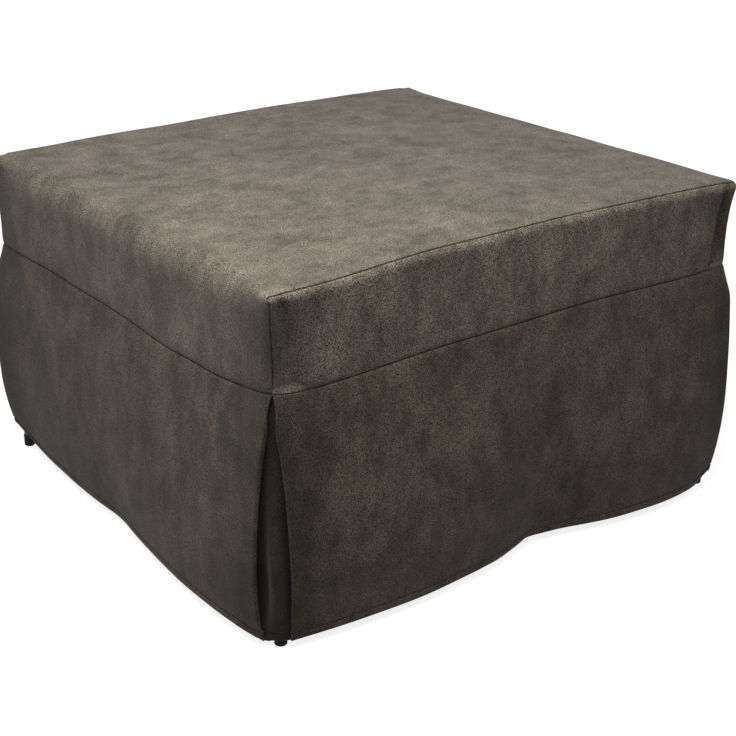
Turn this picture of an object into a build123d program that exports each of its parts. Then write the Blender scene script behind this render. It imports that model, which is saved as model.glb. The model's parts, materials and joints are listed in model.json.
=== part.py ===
"""Fold-out ottoman guest bed, closed under its fitted cloth cover.

Three mattress sections on steel frames fold in a Z: the base stands on the floor, the middle lies
on it upside down, and the head lies on the middle with its mattress up, which makes the seat.
The bed unfolds towards +Y. A sewn cover with a pleated skirt drops over the closed bed.
Millimetres, +Z up, origin on the floor at the centre of the footprint, front face towards -Y.
"""
import os

from build123d import *

# Cover: cloth, room round the folded bed, and heights
cover_cloth = 3
cover_side_room = 6
cover_end_room = 13
seam_height = 335
hem_height = 15
cover_edge_radius = 28
seat_crown = 8

# Skirt: folds of the hanging cloth
skirt_cloth = 1.5
skirt_bulge = 13
skirt_lobe = 18
skirt_valley = 15
skirt_corner_draw = 24
skirt_seam_draw = 2
skirt_valley_half_width = 72
mid_share = 0.5
lobe_share = 0.5
pleat_return = 62
pleat_cloth = 1.5
pleat_corner_radius = 8

# Frames: rectangular steel tube
ground_clearance = 61
rail_width = 25
rail_height = 30
rail_wall = 1.5
rail_corner_radius = 3
cap_thickness = 2

# Slats and their holders
slat_count = 6
slat_width = 55
slat_thickness = 8
slat_edge_bevel = 2.5
slat_drop = 2.5
slat_grip = 18
holder_wall = 2
holder_depth = 20
holder_clearance = 0.15
cap_plug_depth = 12

# Mattress sections
mattress_width = 710
mattress_thickness = 100
mattress_edge_bevel = 7
mattress_corner_radius = 28
mattress_side_play = 1

# Folds
fold_y = 330
fold_gap = 1
seat_gap = 0.3
mattress_back = 2
rail_back = 14
rail_overhang = 14

# Hinge plates, rivets and washers
plate_thickness = 3
plate_foot = 70
plate_inset = 4
boss_radius = 13
rivet_radius = 4
rivet_head_radius = 7
rivet_head = 3
rivet_head_bevel = 1.2
washer_radius = 9
washer_thickness = 1
running_clearance = 0.08

# Fixed leg frames under the base
leg_tube_radius = 7
leg_bend_radius = 22
leg_bar_inset = 10
leg_bar_sway = 60
strap_thickness = 4
strap_gap = 0.5
strap_edge = 10
screw_radius = 2.5
screw_head_radius = 5
screw_head = 3
screw_thread = 6
screw_hole_clearance = 0.1
screw_plug_room = 6
screw_pitch = 24

# Feet of every leg
foot_wall = 1
foot_height = 18
foot_sole = 4
foot_sole_bevel = 1.5
foot_room = 3

# Folding legs under the head section
swing_inner_inset = 60
swing_outer_inset = 30
swing_pivot_height = 8.5
swing_eye_radius = 8
swing_eye_half = 7.5
swing_tube_start = 5
swing_side_gap = 1
swing_pin_radius = 3
swing_pin_head_radius = 5
swing_pin_head = 2
swing_pin_gap = 0.5
swing_collar_gap = 0.3
swing_bar_radius = 6
swing_bar_wall = 1.5
swing_bar_share = 0.62
swing_floor_gap = 0.5

# Shared overrun of cutting tools
overrun = 5

# Levels and places that follow from the sizes above
section_height = rail_height + seat_gap + mattress_thickness
fold_a_z = ground_clearance + section_height + fold_gap / 2
fold_b_z = fold_a_z + fold_gap / 2 + section_height + fold_gap / 2
head_bottom = fold_b_z + fold_gap / 2
cover_height = head_bottom + section_height + seat_gap + cover_cloth
rail_near = fold_y - rail_back
rail_far = rail_near + rail_back + rail_overhang
mattress_near = fold_y - mattress_back
mattress_far = mattress_near + rail_back
mattress_half_width = mattress_width / 2
frame_half_width = mattress_half_width + mattress_side_play
plate_inner = frame_half_width
plate_outer = plate_inner + plate_thickness + washer_thickness
middle_half_width = plate_outer
inner_half_width = plate_outer + plate_thickness + rivet_head + cover_side_room
inner_half_depth = rail_far + cover_end_room
cover_width = 2 * (inner_half_width + cover_cloth)
cover_depth = 2 * (inner_half_depth + cover_cloth)
leg_x = inner_half_width - foot_room - foot_wall - leg_tube_radius
leg_y = inner_half_depth - foot_room - foot_wall - leg_tube_radius
leg_bar_z = ground_clearance - strap_gap - strap_thickness - leg_tube_radius
swing_length = ground_clearance + swing_pivot_height - swing_floor_gap
swing_inner_y = swing_inner_inset - fold_y
swing_outer_y = fold_y - swing_outer_inset


def block(low, high):
    """A box between two opposite corners."""
    size = [b - a for a, b in zip(low, high)]
    middle = [(a + b) / 2 for a, b in zip(low, high)]
    return Pos(*middle) * Box(*size)


def cylinder_x(radius, x_start, x_end, y=0, z=0):
    """A round bar along X between two places."""
    bar = Rot(0, 90, 0) * Cylinder(radius, abs(x_end - x_start))
    return Pos((x_start + x_end) / 2, y, z) * bar


def save(name, pieces):
    """Write one named sub-part, a group of separate solids, to its own file."""
    solids = [solid for piece in pieces for solid in piece.solids()]
    export_step(Compound(children=solids), f"parts/{name}.step")


def both_sides(piece):
    """A piece made at +X and its mirror at -X."""
    return [piece, mirror(piece, Plane.YZ)]


def rail_profile():
    """Section of the rectangular tube, rail width along X and rail height along Y."""
    outside = RectangleRounded(rail_width, rail_height, rail_corner_radius)
    return outside - Rectangle(rail_width - 2 * rail_wall, rail_height - 2 * rail_wall)


def rail_along_y(x, y_low, y_high):
    """One side rail, standing on z = 0."""
    tube = Rot(-90, 0, 0) * extrude(rail_profile(), y_high - y_low)
    return Pos(x, y_low, rail_height / 2) * tube


def rail_along_x(half_length, y):
    """One end rail between the side rails, standing on z = 0."""
    tube = Rot(0, 90, 0) * Rot(0, 0, 90) * extrude(rail_profile(), 2 * half_length)
    return Pos(-half_length, y, rail_height / 2) * tube


def side_rails(half_width, y_low, y_high):
    """Both side rails, shortened by the plugs in their ends."""
    x = half_width - rail_width / 2
    return both_sides(rail_along_y(x, y_low + cap_thickness, y_high - cap_thickness))


def rail_caps(half_width, y_low, y_high):
    """Plastic plugs in the four open ends of the side rails."""
    plate = extrude(RectangleRounded(rail_width, rail_height, rail_corner_radius), cap_thickness)
    shrink = 2 * (rail_wall + holder_clearance)
    plug = extrude(Rectangle(rail_width - shrink, rail_height - shrink), -cap_plug_depth)
    cap = plate + plug
    x = half_width - rail_width / 2
    z = rail_height / 2
    far = Pos(x, y_high - cap_thickness, z) * Rot(-90, 0, 0) * cap
    near = Pos(x, y_low + cap_thickness, z) * Rot(90, 0, 0) * cap
    return both_sides(far) + both_sides(near)


def end_rails(half_width, y_low, y_high):
    """The two cross rails, welded between the side rails."""
    half = half_width - rail_width
    return [
        rail_along_x(half, y_low + rail_width / 2),
        rail_along_x(half, y_high - rail_width / 2),
    ]


def slat_places(y_low, y_high):
    """Centres of the slats, evenly spaced between the end rails."""
    first = y_low + rail_width
    pitch = (y_high - rail_width - first) / slat_count
    return [first + pitch * (index + 0.5) for index in range(slat_count)]


def slat_level():
    """Height of a slat's middle above the frame's underside."""
    return rail_height - slat_drop - slat_thickness / 2


def slats(half_width, y_low, y_high):
    """Flat wooden slats with bevelled long edges, held in plastic cups."""
    half = half_width - rail_width - (holder_depth - slat_grip)
    section = chamfer(Rectangle(slat_width, slat_thickness).vertices(), slat_edge_bevel)
    slat = Rot(0, 90, 0) * Rot(0, 0, 90) * extrude(section, half, both=True)
    return [Pos(0, y, slat_level()) * slat for y in slat_places(y_low, y_high)]


def slat_holders(half_width, y_low, y_high):
    """Cups on the inner faces of the side rails, each with a socket for a slat's end."""
    x_rail = half_width - rail_width
    width = slat_width + 2 * (holder_wall + holder_clearance)
    height = slat_thickness + 2 * (holder_wall + holder_clearance)
    cup = Box(holder_depth, width, height)
    socket = Box(
        slat_grip + overrun, slat_width + 2 * holder_clearance, slat_thickness + 2 * holder_clearance
    )
    cup -= Pos((slat_grip - overrun - holder_depth) / 2, 0, 0) * socket
    cup = Pos(x_rail - holder_depth / 2, 0, slat_level()) * cup
    return [
        piece for y in slat_places(y_low, y_high) for piece in both_sides(Pos(0, y, 0) * cup)
    ]


def mattress(y_low, y_high, crown=0):
    """One foam section on its frame, with softened edges and, on the seat, a crowned top."""
    bottom = rail_height + seat_gap
    top = bottom + mattress_thickness
    if crown:
        pad = crowned_slab(mattress_half_width, bottom, top, crown, y_low, y_high)
    else:
        pad = block((-mattress_half_width, y_low, bottom), (mattress_half_width, y_high, top))
    pad = fillet(pad.edges().filter_by(Axis.Z), mattress_corner_radius)
    rim = pad.faces().sort_by(Axis.Z)[0].edges() + pad.faces().sort_by(Axis.Z)[-1].edges()
    return chamfer(rim, mattress_edge_bevel)


def crowned_slab(half_width, bottom, top, crown, y_low, y_high):
    """A slab along Y whose top rises by the crown from its sides to its middle."""
    side_low = (-half_width, bottom)
    side_high = (-half_width, top - crown)
    far_high = (half_width, top - crown)
    far_low = (half_width, bottom)
    outline = Line(side_low, side_high) + ThreePointArc(side_high, (0, top), far_high)
    outline += Polyline(far_high, far_low, side_low)
    slab = Rot(90, 0, 0) * extrude(make_face(outline), y_high - y_low)
    return Pos(0, y_high, 0) * slab


def hinge_plate(direction, axis_z, x_face, hole_clearance=0):
    """A plate from the side rail's end to a fold axis, with a hole for its rivet."""
    axis = (direction * fold_y, axis_z)
    foot = Polyline(
        (direction * (rail_near - plate_foot), plate_inset),
        (direction * rail_near, plate_inset),
        (direction * rail_near, rail_height - plate_inset),
        (direction * (rail_near - plate_foot), rail_height - plate_inset),
        close=True,
    )
    boss = Pos(*axis) * CenterArc((0, 0), boss_radius, 0, 360)
    above = Pos(direction * fold_y, section_height) * Rectangle(4 * plate_foot, 2 * section_height)
    outline = make_hull(foot.edges() + boss.edges()) & above
    outline += Pos(*axis) * Circle(boss_radius)
    hole = Pos(*axis) * Circle(rivet_radius + hole_clearance)
    plate = extrude(Plane.YZ * (outline - hole), plate_thickness)
    return both_sides(Pos(x_face, 0, 0) * plate)


def fold_rivets(direction, axis_z):
    """Rivets that join the two plates of a fold, one on each side."""
    start = plate_inner
    end = plate_outer + plate_thickness
    shank = cylinder_x(rivet_radius, start, end)
    head = cylinder_x(rivet_head_radius, end, end + rivet_head)
    head = chamfer(head.edges().sort_by(Axis.X)[-1], rivet_head_bevel)
    return both_sides(Pos(0, direction * fold_y, axis_z) * (shank + head))


def fold_washers(direction, axis_z):
    """Washers that keep the two plates of a fold apart."""
    start = plate_inner + plate_thickness
    ring = cylinder_x(washer_radius, start, plate_outer)
    ring -= cylinder_x(rivet_radius + running_clearance, start - overrun, plate_outer + overrun)
    return both_sides(Pos(0, direction * fold_y, axis_z) * ring)


def leg_frame(y):
    """A bent tube with a leg at each end, drawn solid because its feet close the bore."""
    low = foot_sole
    bar_x = leg_x - leg_bar_sway
    bar_y = y - leg_bar_inset if y > 0 else y + leg_bar_inset
    half = [(leg_x, y, low), (leg_x, y, leg_bar_z), (bar_x, bar_y, leg_bar_z)]
    other_half = [(-px, py, pz) for px, py, pz in half[::-1]]
    path = FilletPolyline(*other_half[::-1], *half[::-1], radius=leg_bend_radius)
    return sweep(Pos(-leg_x, y, low) * Circle(leg_tube_radius), path=path)


def screw_places(end):
    """Places along Y of the two screws in a strap, clear of the plug in the shorter rail end."""
    outer = rail_near - cap_thickness - cap_plug_depth - screw_plug_room
    return [end * (outer - screw_pitch), end * outer]


def leg_straps():
    """Flat straps that carry the leg frames under the four ends of the side rails."""
    x = frame_half_width - rail_width / 2
    top = ground_clearance - strap_gap
    straps = []
    for end in (-1, 1):
        near = screw_places(end)[0] - end * strap_edge
        far = end * (leg_y + leg_tube_radius)
        strap = Box(rail_width, abs(far - near), strap_thickness)
        strap = chamfer(strap.edges().filter_by(Axis.Z), rail_corner_radius)
        strap = Pos(x, (near + far) / 2, top - strap_thickness / 2) * strap
        for y in screw_places(end):
            hole = Cylinder(screw_radius + screw_hole_clearance, strap_thickness + overrun)
            strap -= Pos(x, y, top - strap_thickness / 2) * hole
        straps += both_sides(strap)
    return straps


def leg_screws():
    """Screws up through the straps into the side rails."""
    x = frame_half_width - rail_width / 2
    under = ground_clearance - strap_gap - strap_thickness
    length = strap_thickness + strap_gap + screw_thread
    shank = Pos(0, 0, length / 2) * Cylinder(screw_radius, length)
    screw = shank + Pos(0, 0, -screw_head / 2) * Cylinder(screw_head_radius, screw_head)
    return [
        piece
        for end in (-1, 1)
        for y in screw_places(end)
        for piece in both_sides(Pos(x, y, under) * screw)
    ]


def drilled_side_rails():
    """The base's side rails, with the holes that take the strap screws."""
    x = frame_half_width - rail_width / 2
    drill = [
        Pos(x, y, 0) * Cylinder(screw_radius + screw_hole_clearance, 2 * rail_wall + overrun)
        for end in (-1, 1)
        for y in screw_places(end)
    ]
    rail = side_rails(frame_half_width, -rail_far, rail_near)[0]
    for tool in drill:
        rail -= tool
    return both_sides(rail)


def foot(height=foot_height):
    """A black plastic foot that sleeves the end of a leg tube, sole at z = 0."""
    radius = leg_tube_radius + foot_wall
    body = Pos(0, 0, height / 2) * Cylinder(radius, height)
    body = chamfer(body.edges().sort_by(Axis.Z)[0], foot_sole_bevel)
    socket = Pos(0, 0, foot_sole + height / 2) * Cylinder(leg_tube_radius, height)
    return body - socket


def base_feet():
    """The four feet of the base."""
    pad = foot()
    return [
        piece for y in (-leg_y, leg_y) for piece in both_sides(Pos(leg_x, y, 0) * pad)
    ]


def swing_post_x():
    """Centre of a folding leg's post, just inside the side rail."""
    return frame_half_width - rail_width - swing_side_gap - swing_eye_half


def swing_posts(y_pivot, direction):
    """Two posts of a folding leg, stowed along Y, each with a drilled eye at its pivot."""
    x = swing_post_x()
    length = swing_length - foot_sole - swing_tube_start
    tube = Pos(0, 0, swing_tube_start) * extrude(Circle(leg_tube_radius), length)
    tube = Rot(-90 * direction, 0, 0) * tube
    eye = cylinder_x(swing_eye_radius, -swing_eye_half, swing_eye_half)
    bore = cylinder_x(
        swing_pin_radius + running_clearance, -swing_eye_half - overrun, swing_eye_half + overrun
    )
    post = tube + eye - bore
    return both_sides(Pos(x, y_pivot, swing_pivot_height) * post)


def swing_bar(y_pivot, direction):
    """Cross tube that joins the two posts of a folding leg."""
    y = y_pivot + direction * swing_length * swing_bar_share
    x = swing_post_x()
    bar = cylinder_x(swing_bar_radius, -x, x, y, swing_pivot_height)
    bar -= cylinder_x(
        swing_bar_radius - swing_bar_wall, -x - overrun, x + overrun, y, swing_pivot_height
    )
    for side in (-1, 1):
        post = Rot(90, 0, 0) * Cylinder(leg_tube_radius, 2 * swing_length)
        bar -= Pos(side * x, y_pivot, swing_pivot_height) * post
    return [bar]


def swing_feet(y_pivot, direction):
    """Plastic feet on the two posts of a folding leg."""
    pad = Rot(90 * direction, 0, 0) * foot(foot_height - foot_sole)
    y = y_pivot + direction * swing_length
    return both_sides(Pos(swing_post_x(), y, swing_pivot_height) * pad)


def swing_pins():
    """Headed pins that carry the folding legs on the head section's side rails."""
    x_rail = frame_half_width - rail_width
    x_end = swing_post_x() - swing_eye_half - swing_pin_gap
    shank = cylinder_x(swing_pin_radius, x_end, x_rail)
    head = cylinder_x(swing_pin_head_radius, x_end - swing_pin_head, x_end)
    collar = cylinder_x(swing_pin_head_radius, x_rail - swing_side_gap + swing_collar_gap, x_rail)
    pin = shank + head + collar
    return [
        piece
        for y in (swing_inner_y, swing_outer_y)
        for piece in both_sides(Pos(0, y, swing_pivot_height) * pin)
    ]


def cover_outline():
    """End view of the cover's top: upright sides, round shoulders and a crowned seat."""
    half = cover_width / 2
    shoulder = cover_height - seat_crown
    low = (-half, seam_height)
    high = (-half, shoulder)
    far_high = (half, shoulder)
    far_low = (half, seam_height)
    outline = Line(low, high) + ThreePointArc(high, (0, cover_height), far_high)
    outline += Polyline(far_high, far_low, low)
    face = make_face(outline)
    return fillet(face.vertices().sort_by(Axis.Y)[-2:], cover_edge_radius)


def cover_top():
    """The seat and the two side walls of the cover, one cloth bent over its shoulders."""
    outline = cover_outline()
    inside = offset(outline, -cover_cloth, kind=Kind.INTERSECTION)
    slot = Pos(0, -cover_cloth - overrun / 2, 0) * inside
    shell = extrude(outline, cover_depth - 2 * cover_cloth)
    shell -= extrude(inside + slot, cover_depth - 2 * cover_cloth)
    shell = Rot(90, 0, 0) * shell
    return [Pos(0, cover_depth / 2 - cover_cloth, 0) * shell]


def cover_end(side):
    """Front or back wall of the cover, sewn all round to the seat and side walls."""
    wall = Rot(90, 0, 0) * extrude(cover_outline(), cover_cloth)
    y = cover_depth / 2 if side > 0 else cover_cloth - cover_depth / 2
    return [Pos(0, y, 0) * wall]


def fold_line(half, end_out, lobe_out, valley_out, inset):
    """Plan of one hanging panel: two lobes with a drawn-in fold between them."""
    valley = skirt_valley_half_width
    rim = (lobe_out + valley_out) * mid_share
    lobe = (half + valley) * lobe_share
    return (
        ThreePointArc((-half, end_out - inset), (-lobe, lobe_out - inset), (-valley, rim - inset))
        + ThreePointArc((-valley, rim - inset), (0, valley_out - inset), (valley, rim - inset))
        + ThreePointArc((valley, rim - inset), (lobe, lobe_out - inset), (half, end_out - inset))
    )


def fold_section(half, end_out, lobe_out, valley_out, z):
    """Closed section of a hanging panel at one height."""
    outer = fold_line(half, end_out, lobe_out, valley_out, 0)
    inner = fold_line(half, end_out, lobe_out, valley_out, skirt_cloth)
    ends = [
        Line((side * half, end_out), (side * half, end_out - skirt_cloth)) for side in (-1, 1)
    ]
    return Pos(0, 0, z) * make_face(outer + inner + ends)


def skirt_panel(half):
    """One panel of the skirt, hung from the seam, its outer face near y = 0."""
    flat = skirt_seam_draw * mid_share
    sections = [
        fold_section(half - skirt_seam_draw, 0, flat, flat * mid_share, seam_height),
        fold_section(
            half - skirt_corner_draw,
            skirt_bulge,
            skirt_bulge * (1 + mid_share) - skirt_seam_draw,
            skirt_bulge * mid_share,
            hem_height + (seam_height - hem_height) * mid_share,
        ),
        fold_section(
            half - skirt_corner_draw, skirt_seam_draw, skirt_lobe, -skirt_valley, hem_height
        ),
    ]
    return loft(sections)


def skirt(turn):
    """A skirt panel turned to its side of the cover: 0 back, 90 left, 180 front, 270 right."""
    across = turn % 180 == 90
    half = (cover_depth if across else cover_width) / 2
    reach = (cover_width if across else cover_depth) / 2
    return [Rot(0, 0, turn) * Pos(0, reach, 0) * skirt_panel(half)]


def pleat(side_x, side_y):
    """Underlay of an inverted corner pleat: an angle of cloth with a rounded corner."""
    x = inner_half_width - seat_gap
    y = inner_half_depth - seat_gap
    path = FilletPolyline(
        (x - pleat_return, y), (x, y), (x, y - pleat_return), radius=pleat_corner_radius
    )
    inside = FilletPolyline(
        (x - pleat_return, y - pleat_cloth),
        (x - pleat_cloth, y - pleat_cloth),
        (x - pleat_cloth, y - pleat_return),
        radius=pleat_corner_radius - pleat_cloth,
    )
    ends = [
        Line((x - pleat_return, y), (x - pleat_return, y - pleat_cloth)),
        Line((x, y - pleat_return), (x - pleat_cloth, y - pleat_return)),
    ]
    face = make_face(path + inside + ends)
    cloth = Pos(0, 0, hem_height) * extrude(face, seam_height - hem_height)
    if side_x < 0:
        cloth = mirror(cloth, Plane.YZ)
    if side_y < 0:
        cloth = mirror(cloth, Plane.XZ)
    return [cloth]


def section_frame(name, place, half_width, y_low, y_high):
    """Write the rails, plugs, slats and holders of one section, moved to its place."""
    groups = {
        "side_rails": side_rails(half_width, y_low, y_high),
        "end_rails": end_rails(half_width, y_low, y_high),
        "rail_caps": rail_caps(half_width, y_low, y_high),
        "slats": slats(half_width, y_low, y_high),
        "slat_holders": slat_holders(half_width, y_low, y_high),
    }
    for part, pieces in groups.items():
        save(f"{name}_{part}", [place * piece for piece in pieces])


def build_base():
    """The section that stands on the floor on four fixed legs."""
    place = Pos(0, 0, ground_clearance)
    section_frame("base", place, frame_half_width, -rail_far, rail_near)
    save("base_side_rails", [place * rail for rail in drilled_side_rails()])
    save("base_mattress", [place * mattress(-mattress_far, mattress_near)])
    plates = hinge_plate(1, fold_a_z - ground_clearance, plate_inner)
    save("base_hinge_plates", [place * plate for plate in plates])
    save("front_leg_frame", [leg_frame(-leg_y)])
    save("rear_leg_frame", [leg_frame(leg_y)])
    save("leg_straps", leg_straps())
    save("leg_screws", leg_screws())
    save("base_feet", base_feet())
    save("fold_a_rivets", fold_rivets(1, fold_a_z))
    save("fold_a_washers", fold_washers(1, fold_a_z))


def build_middle():
    """The section that lies upside down on the base."""
    place = Pos(0, 0, fold_b_z - fold_gap / 2) * Rot(180, 0, 0)
    section_frame("middle", place, middle_half_width, -rail_near, rail_near)
    save("middle_mattress", [place * mattress(-mattress_near, mattress_near)])
    level_a = fold_b_z - fold_gap / 2 - fold_a_z
    plates_a = hinge_plate(-1, level_a, plate_outer, running_clearance)
    plates_b = hinge_plate(1, -fold_gap / 2, plate_outer, running_clearance)
    save("middle_hinge_plates_a", [place * plate for plate in plates_a])
    save("middle_hinge_plates_b", [place * plate for plate in plates_b])


def build_head():
    """The top section, whose mattress is the seat."""
    place = Pos(0, 0, head_bottom)
    section_frame("head", place, frame_half_width, -rail_near, rail_far)
    save("head_mattress", [place * mattress(-mattress_near, mattress_far, seat_crown)])
    plates = hinge_plate(-1, fold_b_z - head_bottom, plate_inner)
    save("head_hinge_plates", [place * plate for plate in plates])
    save("fold_b_rivets", fold_rivets(-1, fold_b_z))
    save("fold_b_washers", fold_washers(-1, fold_b_z))
    save("leg_pivot_pins", [place * pin for pin in swing_pins()])
    for name, y, direction in (("inner", swing_inner_y, 1), ("outer", swing_outer_y, -1)):
        save(f"{name}_leg_posts", [place * piece for piece in swing_posts(y, direction)])
        save(f"{name}_leg_bar", [place * piece for piece in swing_bar(y, direction)])
        save(f"{name}_leg_feet", [place * piece for piece in swing_feet(y, direction)])


def build_cover():
    """The sewn cover: seat with side walls, end walls, four skirt panels and corner pleats."""
    save("cover_top", cover_top())
    save("cover_front", cover_end(-1))
    save("cover_back", cover_end(1))
    for name, turn in (("back", 0), ("left", 90), ("front", 180), ("right", 270)):
        save(f"skirt_{name}", skirt(turn))
    for name, side_x, side_y in (
        ("front_left", -1, -1), ("front_right", 1, -1), ("back_left", -1, 1), ("back_right", 1, 1)
    ):
        save(f"pleat_{name}", pleat(side_x, side_y))


os.makedirs("parts", exist_ok=True)
build_base()
build_middle()
build_head()
build_cover()
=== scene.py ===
"""Dresses the fold-out ottoman guest bed: sewn cover, mattresses, finishes, studio and camera.

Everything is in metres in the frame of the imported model: +Z up, floor at z = 0, front face towards
-Y. Each side of the cover is worked in its own terms: along the side (to the right for someone who
faces it), out from its nominal plane, and up.
"""
import json
import math

import bpy
import numpy as np
from bpy.props import FloatProperty, FloatVectorProperty, PointerProperty
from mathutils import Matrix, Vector

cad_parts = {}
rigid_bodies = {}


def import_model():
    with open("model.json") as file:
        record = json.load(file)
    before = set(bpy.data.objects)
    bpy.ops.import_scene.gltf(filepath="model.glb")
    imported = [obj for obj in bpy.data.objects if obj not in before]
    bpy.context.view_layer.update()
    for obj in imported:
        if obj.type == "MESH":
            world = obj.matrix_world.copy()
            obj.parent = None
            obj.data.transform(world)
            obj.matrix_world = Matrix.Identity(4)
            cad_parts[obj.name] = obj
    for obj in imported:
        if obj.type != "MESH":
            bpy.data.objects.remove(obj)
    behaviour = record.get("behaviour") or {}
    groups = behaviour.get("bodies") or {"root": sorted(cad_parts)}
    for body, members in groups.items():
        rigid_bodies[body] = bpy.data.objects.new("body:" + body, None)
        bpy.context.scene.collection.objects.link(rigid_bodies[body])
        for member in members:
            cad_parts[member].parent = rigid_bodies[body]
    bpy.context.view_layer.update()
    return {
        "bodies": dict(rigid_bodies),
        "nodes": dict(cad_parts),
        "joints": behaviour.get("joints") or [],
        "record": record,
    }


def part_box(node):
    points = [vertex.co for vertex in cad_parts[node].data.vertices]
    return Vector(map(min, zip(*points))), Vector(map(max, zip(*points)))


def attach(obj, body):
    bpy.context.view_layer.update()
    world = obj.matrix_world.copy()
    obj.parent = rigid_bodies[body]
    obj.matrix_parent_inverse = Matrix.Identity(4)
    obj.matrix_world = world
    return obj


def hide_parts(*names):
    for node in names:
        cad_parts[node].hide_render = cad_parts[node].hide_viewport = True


bl_info = {
    "name": "Fold-out ottoman guest bed",
    "version": (1, 0, 0),
    "blender": (4, 5, 0),
    "location": "3D View > Sidebar > Ottoman",
    "description": "Sews the cover, upholsters the mattresses and lights the studio",
    "category": "Object",
}

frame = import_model()
MM = 0.001

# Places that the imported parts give
COVER_LOW, COVER_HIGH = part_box("cover_top")
HALF_WIDTH = COVER_HIGH.x
HALF_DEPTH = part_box("cover_back")[1].y
TOP_Z = COVER_HIGH.z
SEAM_Z = COVER_LOW.z
HEM_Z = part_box("skirt_front")[0].z - 2.5 * MM

# Each side of the cover: direction along it, direction out of it, half length, reach
SIDES = {
    "front": ((1, 0), (0, -1), HALF_WIDTH, HALF_DEPTH),
    "right": ((0, 1), (1, 0), HALF_DEPTH, HALF_WIDTH),
    "back": ((-1, 0), (0, 1), HALF_WIDTH, HALF_DEPTH),
    "left": ((0, -1), (-1, 0), HALF_DEPTH, HALF_WIDTH),
}

# Hem of each skirt panel: share of the half length, and millimetres out of the nominal plane
HEM_LINES = {
    "front": ((-1, 4), (-0.93, 7), (-0.82, 12), (-0.64, 17), (-0.38, 17), (-0.28, 13.5),
              (-0.18, 9.3), (-0.1, 4.5), (0, -6.5), (0.06, -14), (0.092, -18.5), (0.115, -18.5),
              (0.17, -15), (0.234, -10.3), (0.32, -0.5), (0.43, 10.3), (0.58, 17.4),
              (0.66, 19.4), (0.73, 19), (0.8, 16.5), (0.87, 12), (0.94, 4), (1, -1)),
    "right": ((-1, 2), (-0.75, 13), (-0.45, 20), (-0.2, 9), (0, -9), (0.14, -11),
              (0.35, 6), (0.6, 18), (0.85, 13), (1, 5)),
    "back": ((-1, 6), (-0.8, 15), (-0.55, 20), (-0.3, 8), (-0.08, -10), (0.08, -12),
             (0.3, 3), (0.5, 15), (0.75, 14), (1, -4)),
    "left": ((-1, 1), (-0.93, 0), (-0.82, -4), (-0.62, -2.5), (-0.43, 0.5), (-0.25, 1.5),
             (-0.09, 0.5), (0.11, 9.5), (0.29, 15.5), (0.46, 19.5), (0.6, 20.5), (0.74, 19.5),
             (0.84, 16.5), (0.94, 11.5), (1, 9)),
}

# Extra rise of the seat at its back seam and its right edge, in millimetres
BACK_RISE = ((-1, 6), (-0.85, 7), (-0.65, 4.5), (-0.45, 0.5), (0, 0.5), (0.6, 1), (1, 3))
RIGHT_RISE = ((-1, 0), (-0.9, 5), (-0.7, 7), (-0.4, 6), (0, 4.5), (0.6, 3.5), (1, 3))

# Hollow on a wall beside its upright seam: share of its width, share of its depth
HOLLOW_LINE = ((0, 0), (0.12, 0.35), (0.3, 0.8), (0.65, 0.96), (0.9, 1), (1.06, 0.7), (1.25, 0.15),
               (1.6, 0))

# Belly of a hanging panel by share of its drop, and its size on each side in millimetres
BELLY_LINE = ((0, 0), (0.05, 0.14), (0.18, 0.46), (0.3, 0.69), (0.42, 0.89), (0.54, 1),
              (0.66, 0.96), (0.75, 0.85), (0.83, 0.66), (0.9, 0.42), (0.96, 0.16), (1, 0))
BELLIES = {"front": 15, "right": 21, "back": 15, "left": 16}

# Drop of the skirt seam below its nominal height, in millimetres, by share of the half length
SEAM_LINES = {
    "front": ((-1, 0.5), (-0.95, 4.5), (-0.86, 7.3), (-0.72, 7), (-0.55, 4.5), (-0.36, 1.8),
              (0, -0.7), (0.35, -2.5), (0.55, -0.5), (0.78, 1.5), (1, -0.5)),
    "right": ((-1, -0.5), (-0.8, 4), (-0.3, 3), (0.2, 3), (0.7, 6), (1, 4)),
    "back": ((-1, 4), (-0.8, 8), (-0.3, 6), (0.3, 7), (0.8, 12), (1, 10)),
    "left": ((-1, 10), (-0.85, 12), (-0.6, 10.5), (-0.3, 12), (0, 13), (0.18, 16), (0.32, 19),
             (0.5, 17.3), (0.68, 16), (0.79, 12), (0.89, 7.7), (1, 0.5)),
}

# Rise of the seat above its sides along a seam, in millimetres, by share of the half width
CROWN_LINE = ((-1, 0.4), (-0.88, 0.6), (-0.76, 1.3), (-0.6, 4.6), (-0.4, 8.2), (-0.2, 8.8),
              (0.2, 9.6), (0.4, 8), (0.6, 6.8), (0.8, 5.2), (0.93, 3.2), (1, 1.4))

# Fold of a panel's upright edge: share of the drop, and millimetres back from the cover's corner
PLEAT_WIDE = ((0, 0), (0.12, 6.5), (0.25, 13), (0.38, 15.5), (0.58, 17), (0.8, 20.5), (0.92, 21),
              (1, 16.5))
PLEAT_NARROW = ((0, 0), (0.12, 5), (0.25, 10.5), (0.38, 12.5), (0.58, 14.5), (0.8, 17.5),
                (0.9, 18.4), (1, 18.5))
PLEAT_CLOSED = ((0, 0), (0.3, 1), (0.6, 2), (0.9, 3), (1, 3))

# Underlay of each pleat: its corner, the hem out of its two nominal planes in millimetres, how far
# the hem hangs lower there, and the size of the nose
UNDERLAYS = {"front_left": ((-1, -1), (4, -1), (3, 1.5), 1),
             "front_right": ((1, -1), (-2, -2), (0, 0), 0),
             "back_left": ((-1, 1), (-3, -3), (0, 0), 0),
             "back_right": ((1, 1), (0, 0), (1, 1), 1)}
NOSE_LINE = ((0, 0), (0.35, 0), (0.55, 5), (0.7, 9.5), (0.85, 9), (0.95, 3), (1, 0))
NOSE_HALF = 9 * MM

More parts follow.
